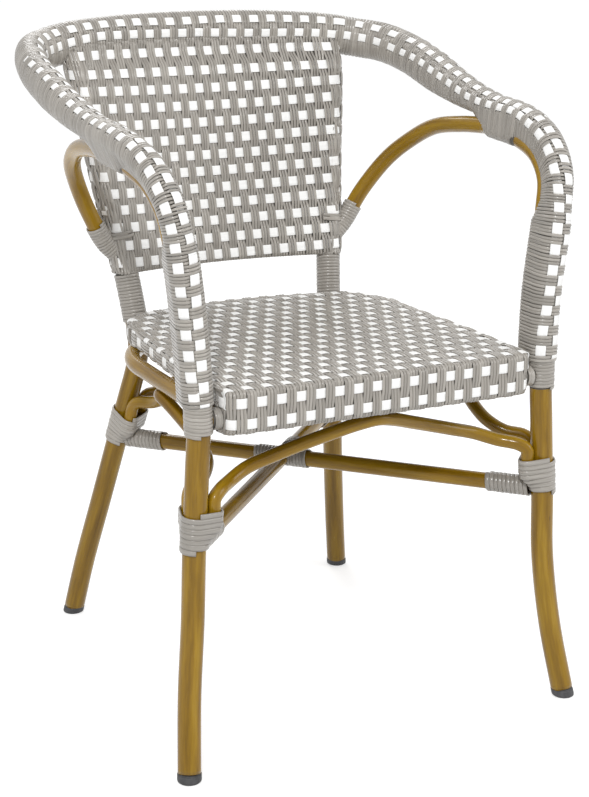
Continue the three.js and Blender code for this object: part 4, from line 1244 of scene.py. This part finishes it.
for name, start, turned in (
    ("front_right", 0, 1), ("rear_left", rear_wrap, 1),
    ("front_left", 0, MIRROR), ("rear_right", rear_wrap, MIRROR),
):
    wound(f"stretcher_strands_{name}", f"stretcher_wrap_{name}", stretcher, start,
          start + WRAP_LONG, ROUND, LONG_TURN, turned)
short_from = middle + 2 * WRAP_SKIN + GAP
wound("crossing_strands", "crossing_wrap", stretcher, middle - CROSSING_HALF,
      middle + CROSSING_HALF, ROUND, CROSSING_TURN)
wound("crossing_strands_short", "crossing_wrap_short", stretcher, short_from,
      short_from + CROSSING_SHORT, ROUND, CROSSING_TURN, MIRROR)

# Hidden rails keep their solids, coloured with the dark painted shade
for name in ("seat_frame", "back_bottom_rail"):
    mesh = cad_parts[name].data
    mesh.materials.clear()
    mesh.materials.append(shadow)


# Camera: a focal length and middle in pixels of the picture's longer side
PICTURE, FOCAL, SHIFT = 797, 1799.7, (-1.8, -0.85)
SENSOR = 36
CAMERA_AT = (-0.9743, -1.9526, 0.9913)
YAW, PITCH, ROLL = (radians(v) for v in (-26.94, 16.53, 0.51))


def place_camera():
    back = np.array([sin(YAW) * cos(PITCH), -cos(YAW) * cos(PITCH), sin(PITCH)])
    right = np.array([cos(YAW), sin(YAW), 0.0])
    up = np.cross(back, right)
    side = cos(ROLL) * right + sin(ROLL) * up
    rise = -sin(ROLL) * right + cos(ROLL) * up
    data = bpy.data.cameras.new("view")
    data.lens = FOCAL * SENSOR / PICTURE
    data.shift_x, data.shift_y = (v / PICTURE for v in SHIFT)
    data.clip_end = 50
    camera = add_object("view", data)
    camera.matrix_world = Matrix([*np.column_stack([side, rise, back, CAMERA_AT]), [0, 0, 0, 1]])
    bpy.context.scene.camera = camera


# Floor, backdrop and light
FLOOR_HALF, FLOOR_GREY, FLOOR_GLOW = 12.0, 0.7, 0.52
SKY_LIGHT, SKY_SEEN = 0.7, 1.0
AIM = Vector((0, 0, 0.4))
LAMPS = {"key": ((-1.6, -2.4, 2.8), 0.55, 58), "fill": ((2.6, -1.8, 1.8), 1.8, 22),
         "back": ((0.5, 2.6, 2.4), 1.6, 25)}


def lamp(name, place, size, power):
    data = bpy.data.lights.new(name, "AREA")
    data.shape = "DISK"
    data.size = size
    data.energy = power
    light = add_object(name, data)
    light.location = place
    light.rotation_euler = (AIM - Vector(place)).to_track_quat("-Z", "Y").to_euler()


def where_seen(tree, unseen, seen):
    """A value for what is seen directly, in a reflection or through glass, and one for light."""
    path = tree.nodes.new("ShaderNodeLightPath")
    total = path.outputs["Is Camera Ray"]
    for ray in ("Is Glossy Ray", "Is Transmission Ray"):
        total = add_node(tree, "Math", 0, {0: total, 1: path.outputs[ray]}, use_clamp=True)
    return spread(tree, total, unseen, seen)


def studio():
    mesh = bpy.data.meshes.new("floor")
    corners = ((-1, -1), (1, -1), (1, 1), (-1, 1))
    mesh.from_pydata([(x * FLOOR_HALF, y * FLOOR_HALF, 0) for x, y in corners], [], [range(4)])
    floor = add_object("floor", mesh)
    made = bpy.data.materials.new("floor_paint")
    made.use_nodes = True
    tree = made.node_tree
    preset(tree, tree.nodes["Principled BSDF"], {
        "Base Color": (FLOOR_GREY, FLOOR_GREY, FLOOR_GREY, 1), "Roughness": 0.9,
        "Specular IOR Level": 0.0, "Emission Color": (1, 1, 1, 1),
        "Emission Strength": where_seen(tree, 0.0, FLOOR_GLOW),
    })
    mesh.materials.append(made)
    world = bpy.data.worlds.new("room")
    world.use_nodes = True
    tree = world.node_tree
    preset(tree, tree.nodes["Background"], {
        "Color": (1, 1, 1, 1), "Strength": where_seen(tree, SKY_LIGHT, SKY_SEEN),
    })
    bpy.context.scene.world = world
    for name, settings in LAMPS.items():
        lamp(name, *settings)
    bpy.context.scene.view_settings.view_transform = "Standard"


place_camera()
studio()
